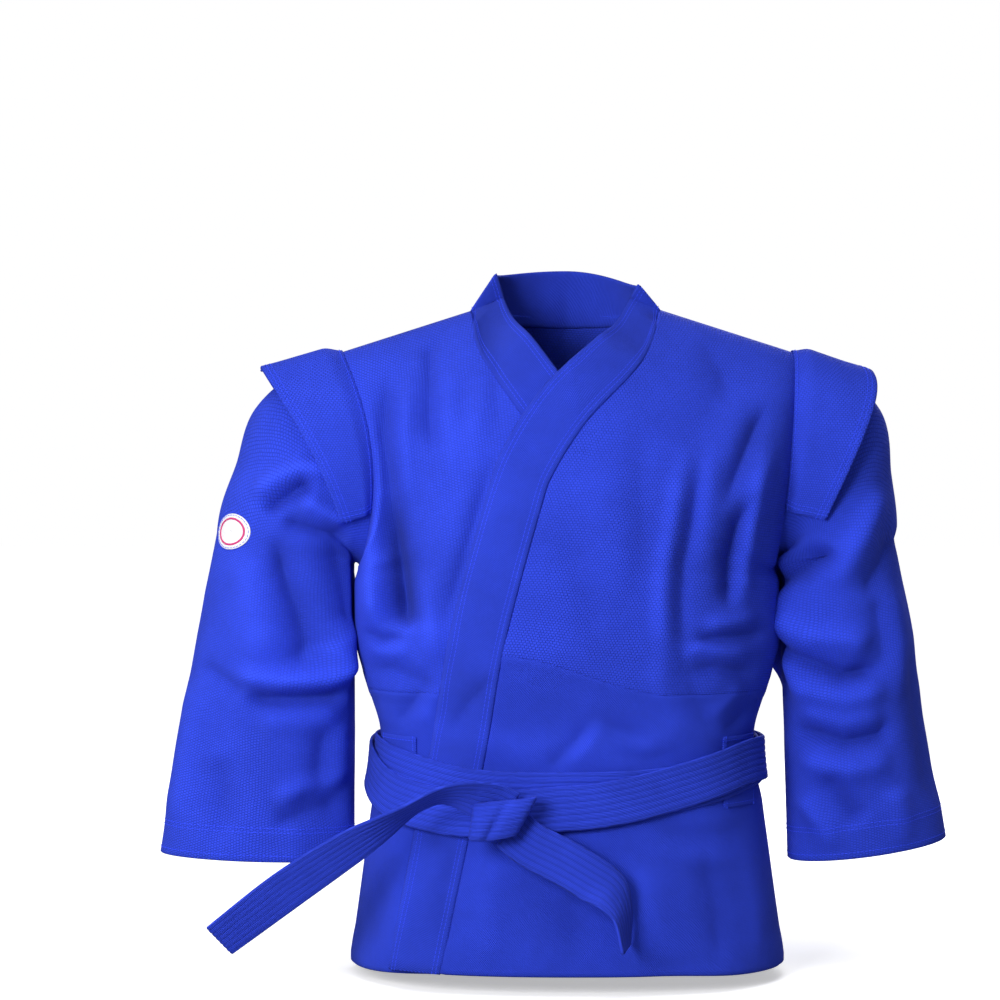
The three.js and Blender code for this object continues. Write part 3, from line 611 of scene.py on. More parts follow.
def body_folds(x, z, face):
    """How far the jacket's cloth stands off its cut, on the front or the back."""
    total = 0.9 * wander(x, z, 0.4 if face == "front" else 2.1)
    for fold in FRONT_FOLDS if face == "front" else BACK_FOLDS:
        total = total + (1 if face == "front" else BACK_FOLD_GAIN) * stroke(x, z, *fold)
    middle = BELT_Z - 26 * (1 - smoothstep(np.abs(x), 20, 160)) * (face == "front")
    pinch = np.exp(-(((z - middle) / 24) ** 2))
    blouse = 3.2 * np.exp(-(((z - middle - 38) / 15) ** 2)) + 2.4 * np.exp(-(((z - middle + 36) / 15) ** 2))
    return total * (1 - 0.8 * pinch) + blouse - 1.2 * pinch


def sleeve_folds(side, grid, normal):
    x, z = grid[..., 0], grid[..., 2]
    facing = smoothstep(-normal[..., 1], -0.5, 0.5)
    total = {}
    for face in ("front", "back"):
        total[face] = 1.8 * wander(x, z, 0.9 if face == "front" else 3.3)
        for points, deep, wide in SLEEVE_FOLDS[side][face]:
            total[face] = total[face] + SLEEVE_FOLD_GAIN * stroke(x, z, points, deep, wide, 0.25, 0.25)
    return lerp(total["back"], total["front"], facing)


# ---- Meshes from grids ----

def normals_of(grid, outward, wrap=False):
    """Unit normals of a grid, on the side that outward, a direction for each point, lies on."""
    down = np.gradient(grid, axis=0)
    across = (np.roll(grid, -1, 1) - np.roll(grid, 1, 1)) if wrap else np.gradient(grid, axis=1)
    n = np.cross(across, down)
    n /= np.maximum(np.linalg.norm(n, axis=-1, keepdims=True), 1e-9)
    flip = (n * outward).sum() < 0
    return (-n if flip else n), flip


def from_axis(grid):
    """Directions away from each row's own middle."""
    return grid - grid.mean(axis=1, keepdims=True)


def edge_fade(grid, width, edges):
    """1 inside, falling to 0 at the named edges over a width."""
    fade = np.ones(grid.shape[:2])
    for edge in edges:
        g = grid if edge in ("top", "start") else (grid[::-1] if edge == "bottom" else grid[:, ::-1])
        axis = 0 if edge in ("top", "bottom") else 1
        step = np.linalg.norm(np.diff(g, axis=axis), axis=-1)
        pad = [(0, 0), (0, 0)]
        pad[axis] = (1, 0)
        run = np.cumsum(np.pad(step, pad), axis=axis)
        if edge == "bottom":
            run = run[::-1]
        if edge == "end":
            run = run[:, ::-1]
        fade *= smoothstep(run, 0, width)
    return fade


def arc_uv(grid, face):
    """Cloth coordinates in metres: along the curve of the body, and down it."""
    x, z = grid[..., 0], grid[..., 2]
    steps = np.linspace(0, 1, 25)[:, None, None]
    xs = x[None] * steps
    ys = depth(xs, np.broadcast_to(z[None], xs.shape), face)
    u = np.hypot(np.diff(xs, axis=0), np.diff(ys, axis=0)).sum(0) * np.sign(x)
    return np.stack([u, z], -1) * MM


def strip_uv(grid):
    """Cloth coordinates in metres along and across a strip."""
    down = np.pad(np.linalg.norm(np.diff(grid, axis=0), axis=-1), ((1, 0), (0, 0))).mean(1).cumsum()
    across = np.pad(np.linalg.norm(np.diff(grid, axis=1), axis=-1), ((0, 0), (1, 0))).mean(0).cumsum()
    return np.stack(np.broadcast_arrays(across[None, :], down[:, None]), -1) * MM


def added(name, data):
    """A new object in the scene, at the origin."""
    obj = bpy.data.objects.new(name, data)
    bpy.context.scene.collection.objects.link(obj)
    return obj


def cloth_solid(name, grid, thick, outward, wrap=False, uv=None, fold=None, *, material):
    """One closed piece of cloth round a grid of middle points, in millimetres."""
    rows, cols = grid.shape[:2]
    normal, flip = normals_of(grid, outward, wrap)
    half = np.broadcast_to(np.asarray(thick, float) / 2, (rows, cols))[..., None]
    uv = strip_uv(grid) if uv is None else uv
    fold = np.zeros((rows, cols)) if fold is None else fold
    index = np.arange(rows * cols).reshape(rows, cols)
    if wrap:
        after = np.roll(index, -1, 1)
        a, b, c, d = index[:-1], after[:-1], after[1:], index[1:]
    else:
        a, b, c, d = index[:-1, :-1], index[:-1, 1:], index[1:, 1:], index[1:, :-1]
    outer_faces = np.stack([a, b, c, d], -1).reshape(-1, 4)
    faces = [outer_faces, outer_faces[:, ::-1] + rows * cols]
    places = [(grid + normal * half).reshape(-1, 3), (grid - normal * half).reshape(-1, 3)]
    uvs, folds = [uv.reshape(-1, 2)] * 2, [fold.reshape(-1)] * 2
    if wrap:
        loops = [index[0][::-1], index[-1]]
    else:
        loops = [np.concatenate([index[0, ::-1], index[1:, 0], index[-1, 1:], index[-2:0:-1, -1]])]
    away = np.zeros_like(grid)
    away[0] += grid[0] - grid[1]
    away[-1] += grid[-1] - grid[-2]
    if not wrap:
        away[:, 0] += grid[:, 0] - grid[:, 1]
        away[:, -1] += grid[:, -1] - grid[:, -2]
    away = away.reshape(-1, 3)
    away /= np.maximum(np.linalg.norm(away, axis=1, keepdims=True), 1e-9)
    flat_grid, flat_half = grid.reshape(-1, 3), half.reshape(-1)
    start = 2 * rows * cols
    # A rim along each loop of edge points closes the piece.
    for loop in loops:
        rim = np.arange(len(loop)) + start
        start += len(loop)
        places.append(flat_grid[loop] + away[loop] * flat_half[loop][:, None] * 0.8)
        uvs.append(uv.reshape(-1, 2)[loop])
        folds.append(fold.reshape(-1)[loop])
        nxt = np.roll(np.arange(len(loop)), -1)
        faces.append(np.stack([loop, loop[nxt], rim[nxt], rim], -1))
        faces.append(np.stack([rim, rim[nxt], loop[nxt] + rows * cols, loop + rows * cols], -1))
    faces = np.concatenate(faces)
    # Faces follow the grid's own turn, so they are reversed where its normal was.
    if flip:
        faces = faces[:, ::-1]
    places, uvs = np.concatenate(places) * MM, np.concatenate(uvs)
    mesh = bpy.data.meshes.new(name)
    mesh.from_pydata(places.tolist(), [], faces.tolist())
    mesh.polygons.foreach_set("use_smooth", [True] * len(mesh.polygons))
    corner = uvs[faces.reshape(-1)].reshape(-1, 4, 2)
    if wrap:  # the last column's faces reach round to the first
        full = (uv[:, -1, 0] - uv[:, 0, 0]).mean() * cols / (cols - 1)
        low = corner[..., 0].max(1, keepdims=True) - corner[..., 0] > full / 2
        corner[..., 0] += full * low
    layer = mesh.uv_layers.new(name="cloth")
    layer.data.foreach_set("uv", corner.reshape(-1).astype(np.float32))
    # How far the cloth stands out; the cloth material turns it into painted shade in the valleys and a
    # painted highlight on the ridges.
    attribute = mesh.attributes.new("fold", "FLOAT", "POINT")
    attribute.data.foreach_set("value", np.concatenate(folds).astype(np.float32))
    mesh.materials.append(material)
    return added(name, mesh)


def flat_size(grid, wrap=False):
    """Width, length and area of a grid's cloth, in metres."""
    wide = np.linalg.norm(np.diff(grid, axis=1), axis=-1).sum(1)
    if wrap:
        wide = wide + np.linalg.norm(grid[:, -1] - grid[:, 0], axis=-1)
    long = np.linalg.norm(np.diff(grid, axis=0), axis=-1).sum(0)
    g = np.concatenate([grid, grid[:, :1]], 1) if wrap else grid
    a, b, c, d = g[:-1, :-1], g[:-1, 1:], g[1:, 1:], g[1:, :-1]
    halves = [np.linalg.norm(np.cross(b - corner, d - corner), axis=-1) for corner in (a, c)]
    area = (halves[0] + halves[1]).sum() / 2
    return float(wide.max()) * MM, float(long.max()) * MM, float(area) * MM * MM


def declare(grid, wrap=False):
    """Works out the width, length and area of a grid's cloth and rounds the width and length; nothing is done
    with them.
    """
    wide, long, area = flat_size(grid, wrap)
    wide, long = round(wide, 3), round(long, 3)


def settle(obj, node_name, body, grid, wrap=False, bends=None):
    """Hides the part that a piece of cloth stands for, and bakes the piece's place where bends is given or
    else makes it move with its body; the cut's sizes are worked out but not kept.
    """
    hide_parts(node_name)
    if bends:
        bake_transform(obj)
    else:
        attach(obj, body)
    declare(grid, wrap)


# Seam lines for the stitches, by the body or bodies that they move with.
seams = {"jacket": [], "right_sleeve": [], "left_sleeve": [], "right_wing": [], "left_wing": []}


def inset_line(grid, normal, thick, edge, inset):
    """A line on the cloth's outer face at a distance from one of its edges."""
    g = grid + normal * (thick / 2 + 0.05)
    g = {
        "top": g, "bottom": g[::-1],
        "start": g.transpose(1, 0, 2), "end": g[:, ::-1].transpose(1, 0, 2),
    }[edge]
    step = np.linalg.norm(np.diff(g, axis=0), axis=-1)
    run = np.cumsum(np.pad(step, ((1, 0), (0, 0))), axis=0)
    return np.array([
        [np.interp(inset, run[:, j], g[:, j, k]) for k in range(3)] for j in range(g.shape[1])
    ])


def stitch(body, *lines, closed=False):
    for line in lines:
        seams[body].append(np.concatenate([line, line[:1]]) if closed else line)


def front_out(grid):
    return np.broadcast_to(np.array([0.0, -1.0, 0.0]), grid.shape)


def back_out(grid):
    return -front_out(grid)


# ---- Materials ----

def node(tree, kind, place, **values):
    n = tree.nodes.new(kind)
    n.location = place
    for key, value in values.items():
        if key.startswith("in_"):
            slot = key[3:]
            n.inputs[int(slot) if slot.isdigit() else slot.replace("_", " ")].default_value = value
        else:
            setattr(n, key, value)
    return n


def wire(tree, *links):
    """Links (giver, output, taker, input) rows."""
    for giver, output, taker, entry in links:
        tree.links.new(giver.outputs[output], taker.inputs[entry])


def new_material(name, **values):
    """A material with its node tree and its shader, whose named inputs are set."""
    material = bpy.data.materials.new(name)
    material.use_nodes = True
    shader = material.node_tree.nodes["Principled BSDF"]
    for key, value in values.items():
        shader.inputs[key.replace("_", " ")].default_value = value
    return material, material.node_tree, shader


def tinted(tree, place, colour):
    """Multiplies a colour by the tone that reaches its second input."""
    tone = node(tree, "ShaderNodeMix", place, data_type="RGBA", blend_type="MULTIPLY")
    tone.inputs["Factor"].default_value = 1
    tone.inputs[6].default_value = (*colour, 1)
    return tone


def cloth_material(name, colour, weave, grain, relief=0.75, contrast=0.24, roughness=0.88, turn=0.0):
    """Woven cotton: weave is 'grain' for rows of small grains or 'rib' for fine ribs."""
    material, tree, shader = new_material(
        name, Sheen_Weight=0.06, Sheen_Roughness=0.5, Sheen_Tint=(0.3, 0.42, 1, 1),
        Specular_IOR_Level=0.14,
    )
    uv = node(tree, "ShaderNodeUVMap", (-1500, 0), uv_map="cloth")
    place = node(tree, "ShaderNodeTexCoord", (-1500, -400))
    # The threads wander a little, as in cloth that has been worn and washed.
    drift = node(tree, "ShaderNodeTexNoise", (-1500, 300), in_Scale=26, in_Detail=2)
    bent = node(tree, "ShaderNodeVectorMath", (-1300, 120), operation="MULTIPLY_ADD")
    bent.inputs[1].default_value = (0.006, 0.006, 0)
    scale = (1 / grain[0], 1 / grain[1], 1)
    mapping = node(tree, "ShaderNodeMapping", (-1100, 0), in_Scale=scale, in_Rotation=(0, 0, turn))
    if weave == "grain":
        pattern = node(
            tree, "ShaderNodeTexBrick", (-880, 120), in_Scale=1, in_Mortar_Size=0.2, in_Mortar_Smooth=1,
            in_Brick_Width=1, in_Row_Height=1, offset=0.5, in_Color1=(1, 1, 1, 1),
            in_Color2=(0.7, 0.7, 0.7, 1), in_Mortar=(0, 0, 0, 1),
        )
    else:
        pattern = node(
            tree, "ShaderNodeTexWave", (-880, 120), wave_type="BANDS", bands_direction="X",
            wave_profile="SIN", in_Scale=0.3183, in_Distortion=0.8, in_Detail=1, in_Detail_Scale=0.4,
        )
    fibre = node(tree, "ShaderNodeTexNoise", (-880, -260), in_Scale=900, in_Detail=3, in_Roughness=0.7)
    mottle = node(tree, "ShaderNodeTexNoise", (-880, -520), in_Scale=11, in_Detail=6, in_Roughness=0.66)
    height = node(tree, "ShaderNodeMath", (-640, 60), operation="MULTIPLY_ADD", in_1=0.5)
    bump = node(tree, "ShaderNodeBump", (-300, -200), in_Strength=relief, in_Distance=0.0011)
    wire(
        tree, (place, "Object", drift, "Vector"), (drift, "Color", bent, 0), (uv, 0, bent, 2),
        (bent, 0, mapping, 0), (mapping, 0, pattern, "Vector"), (place, "Object", fibre, "Vector"),
        (place, "Object", mottle, "Vector"), (fibre, "Fac", height, 0), (pattern, "Color", height, 2),
        (height, 0, bump, "Height"), (bump, 0, shader, "Normal"),
    )
    # Colour: darker between the threads, with painted shade in the fold valleys and a painted highlight where
    # the cloth stands out.
    shade = node(tree, "ShaderNodeMapRange", (-640, -120), in_1=0.1, in_2=1.2, in_3=1 - contrast, in_4=1.1)
    fade = node(tree, "ShaderNodeMapRange", (-640, -420), in_1=0.3, in_2=0.7, in_3=0.87, in_4=1.12)
    fold = node(tree, "ShaderNodeAttribute", (-880, -760), attribute_name="fold")
    # The fold depth paints shade into the valleys and a highlight onto the ridges.
    fold_shade_and_highlight = node(tree, "ShaderNodeMapRange", (-640, -700), in_1=-20, in_2=10, in_3=0.5, in_4=1.12)
    both = node(tree, "ShaderNodeMath", (-440, -260), operation="MULTIPLY")
    every = node(tree, "ShaderNodeMath", (-260, -420), operation="MULTIPLY")
    tone = tinted(tree, (-80, 200), colour)
    rough = node(
        tree, "ShaderNodeMapRange", (-80, -120), in_1=0, in_2=1, in_3=roughness + 0.08,
        in_4=roughness - 0.06,
    )
    wire(
        tree, (height, 0, shade, 0), (mottle, "Fac", fade, 0), (fold, "Fac", fold_shade_and_highlight, 0),
        (shade, 0, both, 0), (fade, 0, both, 1), (both, 0, every, 0), (fold_shade_and_highlight, 0, every, 1),
        (every, 0, tone, 7), (tone, 2, shader, "Base Color"), (pattern, "Color", rough, 0),
        (rough, 0, shader, "Roughness"),
    )
    return material


def plain_material(name, colour, roughness, scale, bump):
    """Felt or thread: one colour with fine noise in its tone and relief."""
    material, tree, shader = new_material(name, Roughness=roughness, Specular_IOR_Level=0.2)
    place = node(tree, "ShaderNodeTexCoord", (-900, 0))
    noise = node(tree, "ShaderNodeTexNoise", (-700, 0), in_Scale=scale, in_Detail=4, in_Roughness=0.6)
    ramp = node(tree, "ShaderNodeMapRange", (-500, 0), in_1=0.3, in_2=0.7, in_3=0.93, in_4=1.05)
    tone = tinted(tree, (-250, 100), colour)
    relief = node(tree, "ShaderNodeBump", (-250, -200), in_Strength=bump, in_Distance=0.0004)
    wire(
        tree, (place, "Object", noise, "Vector"), (noise, "Fac", ramp, 0), (ramp, 0, tone, 7),
        (tone, 2, shader, "Base Color"), (noise, "Fac", relief, "Height"), (relief, 0, shader, "Normal"),
    )
    return material


def floor_material(name, seen, bounced):
    """A plain floor that looks pale but throws little light up on the cloth."""
    material, tree, shader = new_material(
        name, Roughness=1, Specular_IOR_Level=0, Emission_Color=(1, 1, 1, 1),
    )
    path = node(tree, "ShaderNodeLightPath", (-500, 0))
    tone = node(tree, "ShaderNodeMix", (-250, 0), data_type="RGBA")
    tone.inputs[6].default_value = (bounced, bounced, bounced, 1)
    tone.inputs[7].default_value = (seen, seen, seen * 1.005, 1)
    glow = node(tree, "ShaderNodeMath", (-250, -200), operation="MULTIPLY", in_1=0.45)
    wire(
        tree, (path, "Is Camera Ray", tone, "Factor"), (tone, 2, shader, "Base Color"),
        (path, "Is Camera Ray", glow, 0), (glow, 0, shader, "Emission Strength"),
    )
    return material


# The materials made so far, by kind of cloth.
made = {}


def finish_of(kind):
    """The material of one kind of cloth, made when it is first asked for."""
    if kind not in made:
        p = bpy.context.scene.jacket_cloth
        blue = tuple(p.colour)
        dark, thread = tuple(c * 0.8 for c in blue), tuple(min(1, c * 1.3) for c in blue)
        long, row = p.grain_pitch, p.grain_pitch * 0.68
        rib = p.grain_pitch * 0.4
        made[kind] = {
            "body": lambda: cloth_material("rice_grain_cotton", blue, "grain", (long, row), turn=0.12),
            "slanted": lambda: cloth_material(
                "rice_grain_cotton_slanted", blue, "grain", (long, row), turn=0.4),
            "sleeve": lambda: cloth_material("honeycomb_cotton", blue, "grain", (long * 0.9, row), turn=0.5),
            "skirt": lambda: cloth_material("ribbed_cotton", blue, "rib", (rib, rib), 0.7, 0.24, turn=0.6),
            "lapel": lambda: cloth_material(
                "lapel_twill", blue, "rib", (rib * 1.1, rib * 1.1), 0.8, 0.26, turn=1.2),
            "lining": lambda: cloth_material("lining_cotton", dark, "rib", (rib, rib), 0.5, 0.2),
            "belt": lambda: cloth_material(
                "belt_webbing", blue, "rib", (rib, rib), 0.7, 0.24, 0.82, turn=1.571),
            "thread": lambda: plain_material("blue_thread", thread, 0.7, 2600, 0.4),
            "badge": lambda: plain_material("white_felt", (0.78, 0.78, 0.8), 0.8, 900, 0.5),
            "badge_mark": lambda: plain_material("badge_thread", (0.58, 0.05, 0.2), 0.6, 1500, 0.5),
            "floor": lambda: floor_material("pale_floor", 0.93, 0.34),
        }[kind]()
    return made[kind]


# ---- Sizes that a user would change ----

def length(name, description, default):
    """A size in metres."""
    return bpy.props.FloatProperty(name=name, description=description, default=default, unit="LENGTH")


def power(name, description, default):
    """The strength of a light."""
    return bpy.props.FloatProperty(name=name, description=description, default=default)


class JacketCloth(bpy.types.PropertyGroup):
    """The cloth's thickness, weave and colour."""
    thickness: length("Cloth", "Thickness of the body cloth", 0.0022)
    lapel_thickness: length("Lapel", "Thickness of the folded lapel band", 0.0042)
    grain_pitch: length("Grain pitch", "Length of one grain of the weave", 0.0031)
    pitch: length("Mesh pitch", "Distance between the mesh's points", 0.003)
    colour: bpy.props.FloatVectorProperty(
        name="Blue", description="Colour of the cloth", subtype="COLOR", size=3, min=0, max=1,
        default=(0.028, 0.064, 0.72))
    fold_share: bpy.props.FloatProperty(
        name="Folds", description="How deep the folds are, as a share", default=1.0, subtype="FACTOR")


class JacketBelt(bpy.types.PropertyGroup):
    """The belt's band and its stitching."""
    thickness: length("Belt", "Thickness of the belt", 0.0038)
    rows: bpy.props.IntProperty(
        name="Stitch rows", description="Rows of stitching along the belt", default=7, min=1, max=12)


class JacketStitch(bpy.types.PropertyGroup):
    """The thread that shows on the seams."""
    spacing: length("Spacing", "From one stitch to the next", 0.0036)
    length: length("Stitch", "Length of a stitch", 0.0025)
    thickness: length("Thread", "Thickness of the thread", 0.0006)


class JacketStage(bpy.types.PropertyGroup):
    """The floor, the light and the camera."""
    floor: length("Floor", "Side of the square floor", 40.0)
    key: power("Key light", "Power of the soft light at the front, in watts", 15.5)
    rear: power("Rear light", "Power of the soft light behind, in watts", 16.0)
    top: power("Top light", "Strength of the light from above", 1.3)
    air: power("Room light", "Light from all round", 0.27)


def counts(long, wide):
    """Rows and columns for a piece of about this size, in millimetres."""
    pitch = bpy.context.scene.jacket_cloth.pitch / MM
    return max(3, round(long / pitch)), max(3, round(wide / pitch))


def cloth_thick():
    return bpy.context.scene.jacket_cloth.thickness / MM


def displaced(grid, amount, outward, wrap=False, lead=0.0):
    """Moves a grid along its normals, which lead turns towards the outward direction."""
    normal, _ = normals_of(grid, outward, wrap)
    normal = lerp(normal, outward, lead) if lead else normal
    normal = normal / np.linalg.norm(normal, axis=-1, keepdims=True)
    share = bpy.context.scene.jacket_cloth.fold_share
    return grid + normal * (amount * share)[..., None]


def hemmed(grid, stitches):
    """1 where the cloth is folded double along the edges that are stitched, and 0 elsewhere."""
    fold = np.zeros(grid.shape[:2])
    for edge in {edge for edge, _ in stitches}:
        wide = max(inset for name, inset in stitches if name == edge) + 1.5
        fold = np.maximum(fold, 1 - edge_fade(grid, 2 * wide, [edge]) ** 4)
    return fold


def body_piece(name, grid, face, kind, node_name, fade_edges, stitches, finish=None):
    """One panel of the jacket, folded, closed and riding on the jacket."""
    out = front_out(grid) if face == "front" else back_out(grid)
    amount = body_folds(grid[..., 0], grid[..., 2], face)
    amount = amount * edge_fade(grid, PANEL_FADE, fade_edges)
    bent = displaced(grid, amount, out, lead=LEAD)
    thick = cloth_thick() * (1 + 0.7 * hemmed(grid, stitches))
    obj = cloth_solid(
        name, bent, thick, out, uv=arc_uv(grid, face), fold=amount, material=finish_of(finish or kind),
    )
    settle(obj, node_name, "jacket", grid)
    normal, _ = normals_of(bent, out)
    for edge, inset in stitches:
        stitch("jacket", inset_line(bent, normal, cloth_thick(), edge, inset))


class JACKET_OT_fronts(bpy.types.Operator):
    """Make the two front panels"""
    bl_idname = "jacket.fronts"
    bl_label = "Fronts"

    def execute(self, context):
        rows, cols = counts(370, 300)
        for side in SIDES:
            down = panel_rows(rows)
            grid = front_grid(side, down, np.linspace(0, 1, cols))
            body_piece(
                side + "_front_panel", grid, "front", "body", side + "_front",
                ["end", "top"], [("bottom", 2.5), ("bottom", 9)],
                finish="slanted" if side == "right" else None,
            )
        return {"FINISHED"}


class JACKET_OT_skirts(bpy.types.Operator):
    """Make the skirts below the waist seam, front and back"""
    bl_idname = "jacket.skirts"
    bl_label = "Skirts"

    def execute(self, context):
        rows, cols = counts(250, 300)
        for side in SIDES:
            grid = skirt_grid(side, np.linspace(0, 1, rows), np.linspace(0, 1, cols))
            body_piece(
                side + "_skirt_panel", grid, "front", "skirt", side + "_skirt",
                ["end"], SKIRT_STITCHES,
            )
        rows, cols = counts(250, 470)
        grid = back_grid(np.linspace(2.0001, 3, rows), np.linspace(-1, 1, cols))
        body_piece(
            "back_skirt_panel", grid, "back", "skirt", "back_skirt",
            ["start", "end"], SKIRT_STITCHES,
        )
        return {"FINISHED"}


class JACKET_OT_back(bpy.types.Operator):
    """Make the back panel"""
    bl_idname = "jacket.back"
    bl_label = "Back"

    def execute(self, context):
        rows, cols = counts(370, 470)
        down = panel_rows(rows)
        grid = back_grid(down, np.linspace(-1, 1, cols))
        body_piece(
            "back_panel", grid, "back", "body", "upper_back",
            ["start", "end", "top"], [("bottom", 3), ("bottom", 9)],
        )
        return {"FINISHED"}


class JACKET_OT_lapels(bpy.types.Operator):
    """Make the lapels and the band round the neck"""
    bl_idname = "jacket.lapels"
    bl_label = "Lapels and collar"

    def execute(self, context):
        thick = context.scene.jacket_cloth.lapel_thickness / MM
        for side in SIDES:
            along, across = np.linspace(0, 1, LAPEL_ROWS) ** 1.15, np.linspace(0, 1, LAPEL_COLS)
            grid = lapel_grid(side, along, across)
            out = front_out(grid)
            amount = body_folds(grid[..., 0], grid[..., 2], "front") * smoothstep(along, 0.06, 0.2)[:, None]
            base = displaced(grid, amount + 0.8, out, lead=LEAD)
            # The band is a little thinner along its stitches.
            near, far = (0.16 * np.exp(-(((across - row) / 0.05) ** 2)) for row in (0.1, 0.9))
            profile = (thick * (1 - near - far))[None, :] * np.ones((LAPEL_ROWS, 1))
            obj = cloth_solid(
                side + "_lapel_band", base, profile, out, fold=amount, material=finish_of("lapel"),
            )
            settle(obj, side + "_lapel", "jacket", grid)
            normal, _ = normals_of(base, out)
            for edge in ("start", "end"):
                for inset in (3.5, 7):
                    stitch("jacket", inset_line(base, normal, thick * 0.9, edge, inset))
        grid = collar_grid(np.radians(np.linspace(-90, 90, 90)), np.linspace(0, 1, LAPEL_COLS))
        out = grid * (1, 1, 0)
        obj = cloth_solid("neck_band", grid, COLLAR_THICK, out, material=finish_of("lapel"))
        settle(obj, "neck_collar", "jacket", grid)
        normal, _ = normals_of(grid, out)
        stitch("jacket", *(inset_line(grid, normal, COLLAR_THICK, edge, 4) for edge in ("start", "end")))
        return {"FINISHED"}


class JACKET_OT_linings(bpy.types.Operator):
    """Make the second layer of cloth inside the shoulders"""
    bl_idname = "jacket.linings"
    bl_label = "Shoulder linings"

    def execute(self, context):
        under = cloth_thick() + 1.0
        for side in SIDES:
            rows = np.linspace(0, 0.34, 28)
            halves = []
            for face, grid, out_of in (
                ("front", front_grid(side, rows, np.linspace(0.2, 0.74, 36)), front_out),
                ("back", back_grid(rows, SIDES[side]["sign"] * np.linspace(0.36, 0.78, 36)), back_out),
            ):
                amount = body_folds(grid[..., 0], grid[..., 2], face) * smoothstep(rows, 0, 0.1)[:, None]
                halves.append(displaced(grid, amount, out_of(grid), lead=LEAD))
            grid = np.concatenate([halves[0][:0:-1], halves[1]])
            up = ridge(grid[..., 0]) - grid[..., 2]
            way = np.concatenate([-np.ones(len(rows) - 1), np.ones(len(rows))])[:, None]
            out = np.stack([0 * up, way * np.minimum(1, up / 30), 1 - np.minimum(1, up / 90)], -1)
            out /= np.linalg.norm(out, axis=-1, keepdims=True)
            grid = grid - out * (under + 1.4 * np.minimum(1, up / 12))[..., None]
            obj = cloth_solid(side + "_shoulder_cloth", grid, LINING_THICK, out, material=finish_of("lining"))
            settle(
                obj, side + "_shoulder_lining", "jacket", grid,
            )
        return {"FINISHED"}


def sleeve_places():
    """The rows of a sleeve and the directions round it."""
    above, below = SLEEVE_ROWS
    place = np.concatenate([np.linspace(0, 1, above), np.linspace(1, 2, below)[1:]])
    return place, np.linspace(-np.pi, np.pi, SLEEVE_COLS + 1)[:-1]


def folded_sleeve(side, place, turn, stand=0.0):
    """A sleeve's smooth grid, the same with its folds, and how deep they are."""
    grid = sleeve_grid(side, place, turn, stand)
    out = from_axis(grid)
    normal, _ = normals_of(grid, out, True)
    inner = smoothstep(-np.cos(turn), 0.1, 0.9)[None, :]
    ends = smoothstep(place, 0, 0.16) * (1 - 0.6 * smoothstep(place, 1.85, 2))
    calm = 1 - 0.75 * inner * (1 - smoothstep(np.abs(grid[..., 1]), 14, 40))
    amount = sleeve_folds(side, grid, normal) * ends[:, None] * calm
    bent = displaced(grid, amount, out, True)
    # The sleeve leans on the side of the jacket, in front of its side seam.
    far, height = SIDES[side]["lean"]
    low, high = (grid[..., 2] - height) / 34, (grid[..., 2] - height) / 200
    lean = far * inner * smoothstep(np.abs(grid[..., 1]), 14, 46)
    lean = lean * np.exp(-(np.where(low < 0, low, high) ** 2))
    lean = lean * smoothstep(place, 0.35, 1)[:, None]
    bent[..., 0] -= SIDES[side]["sign"] * lean
    return grid, bent, amount


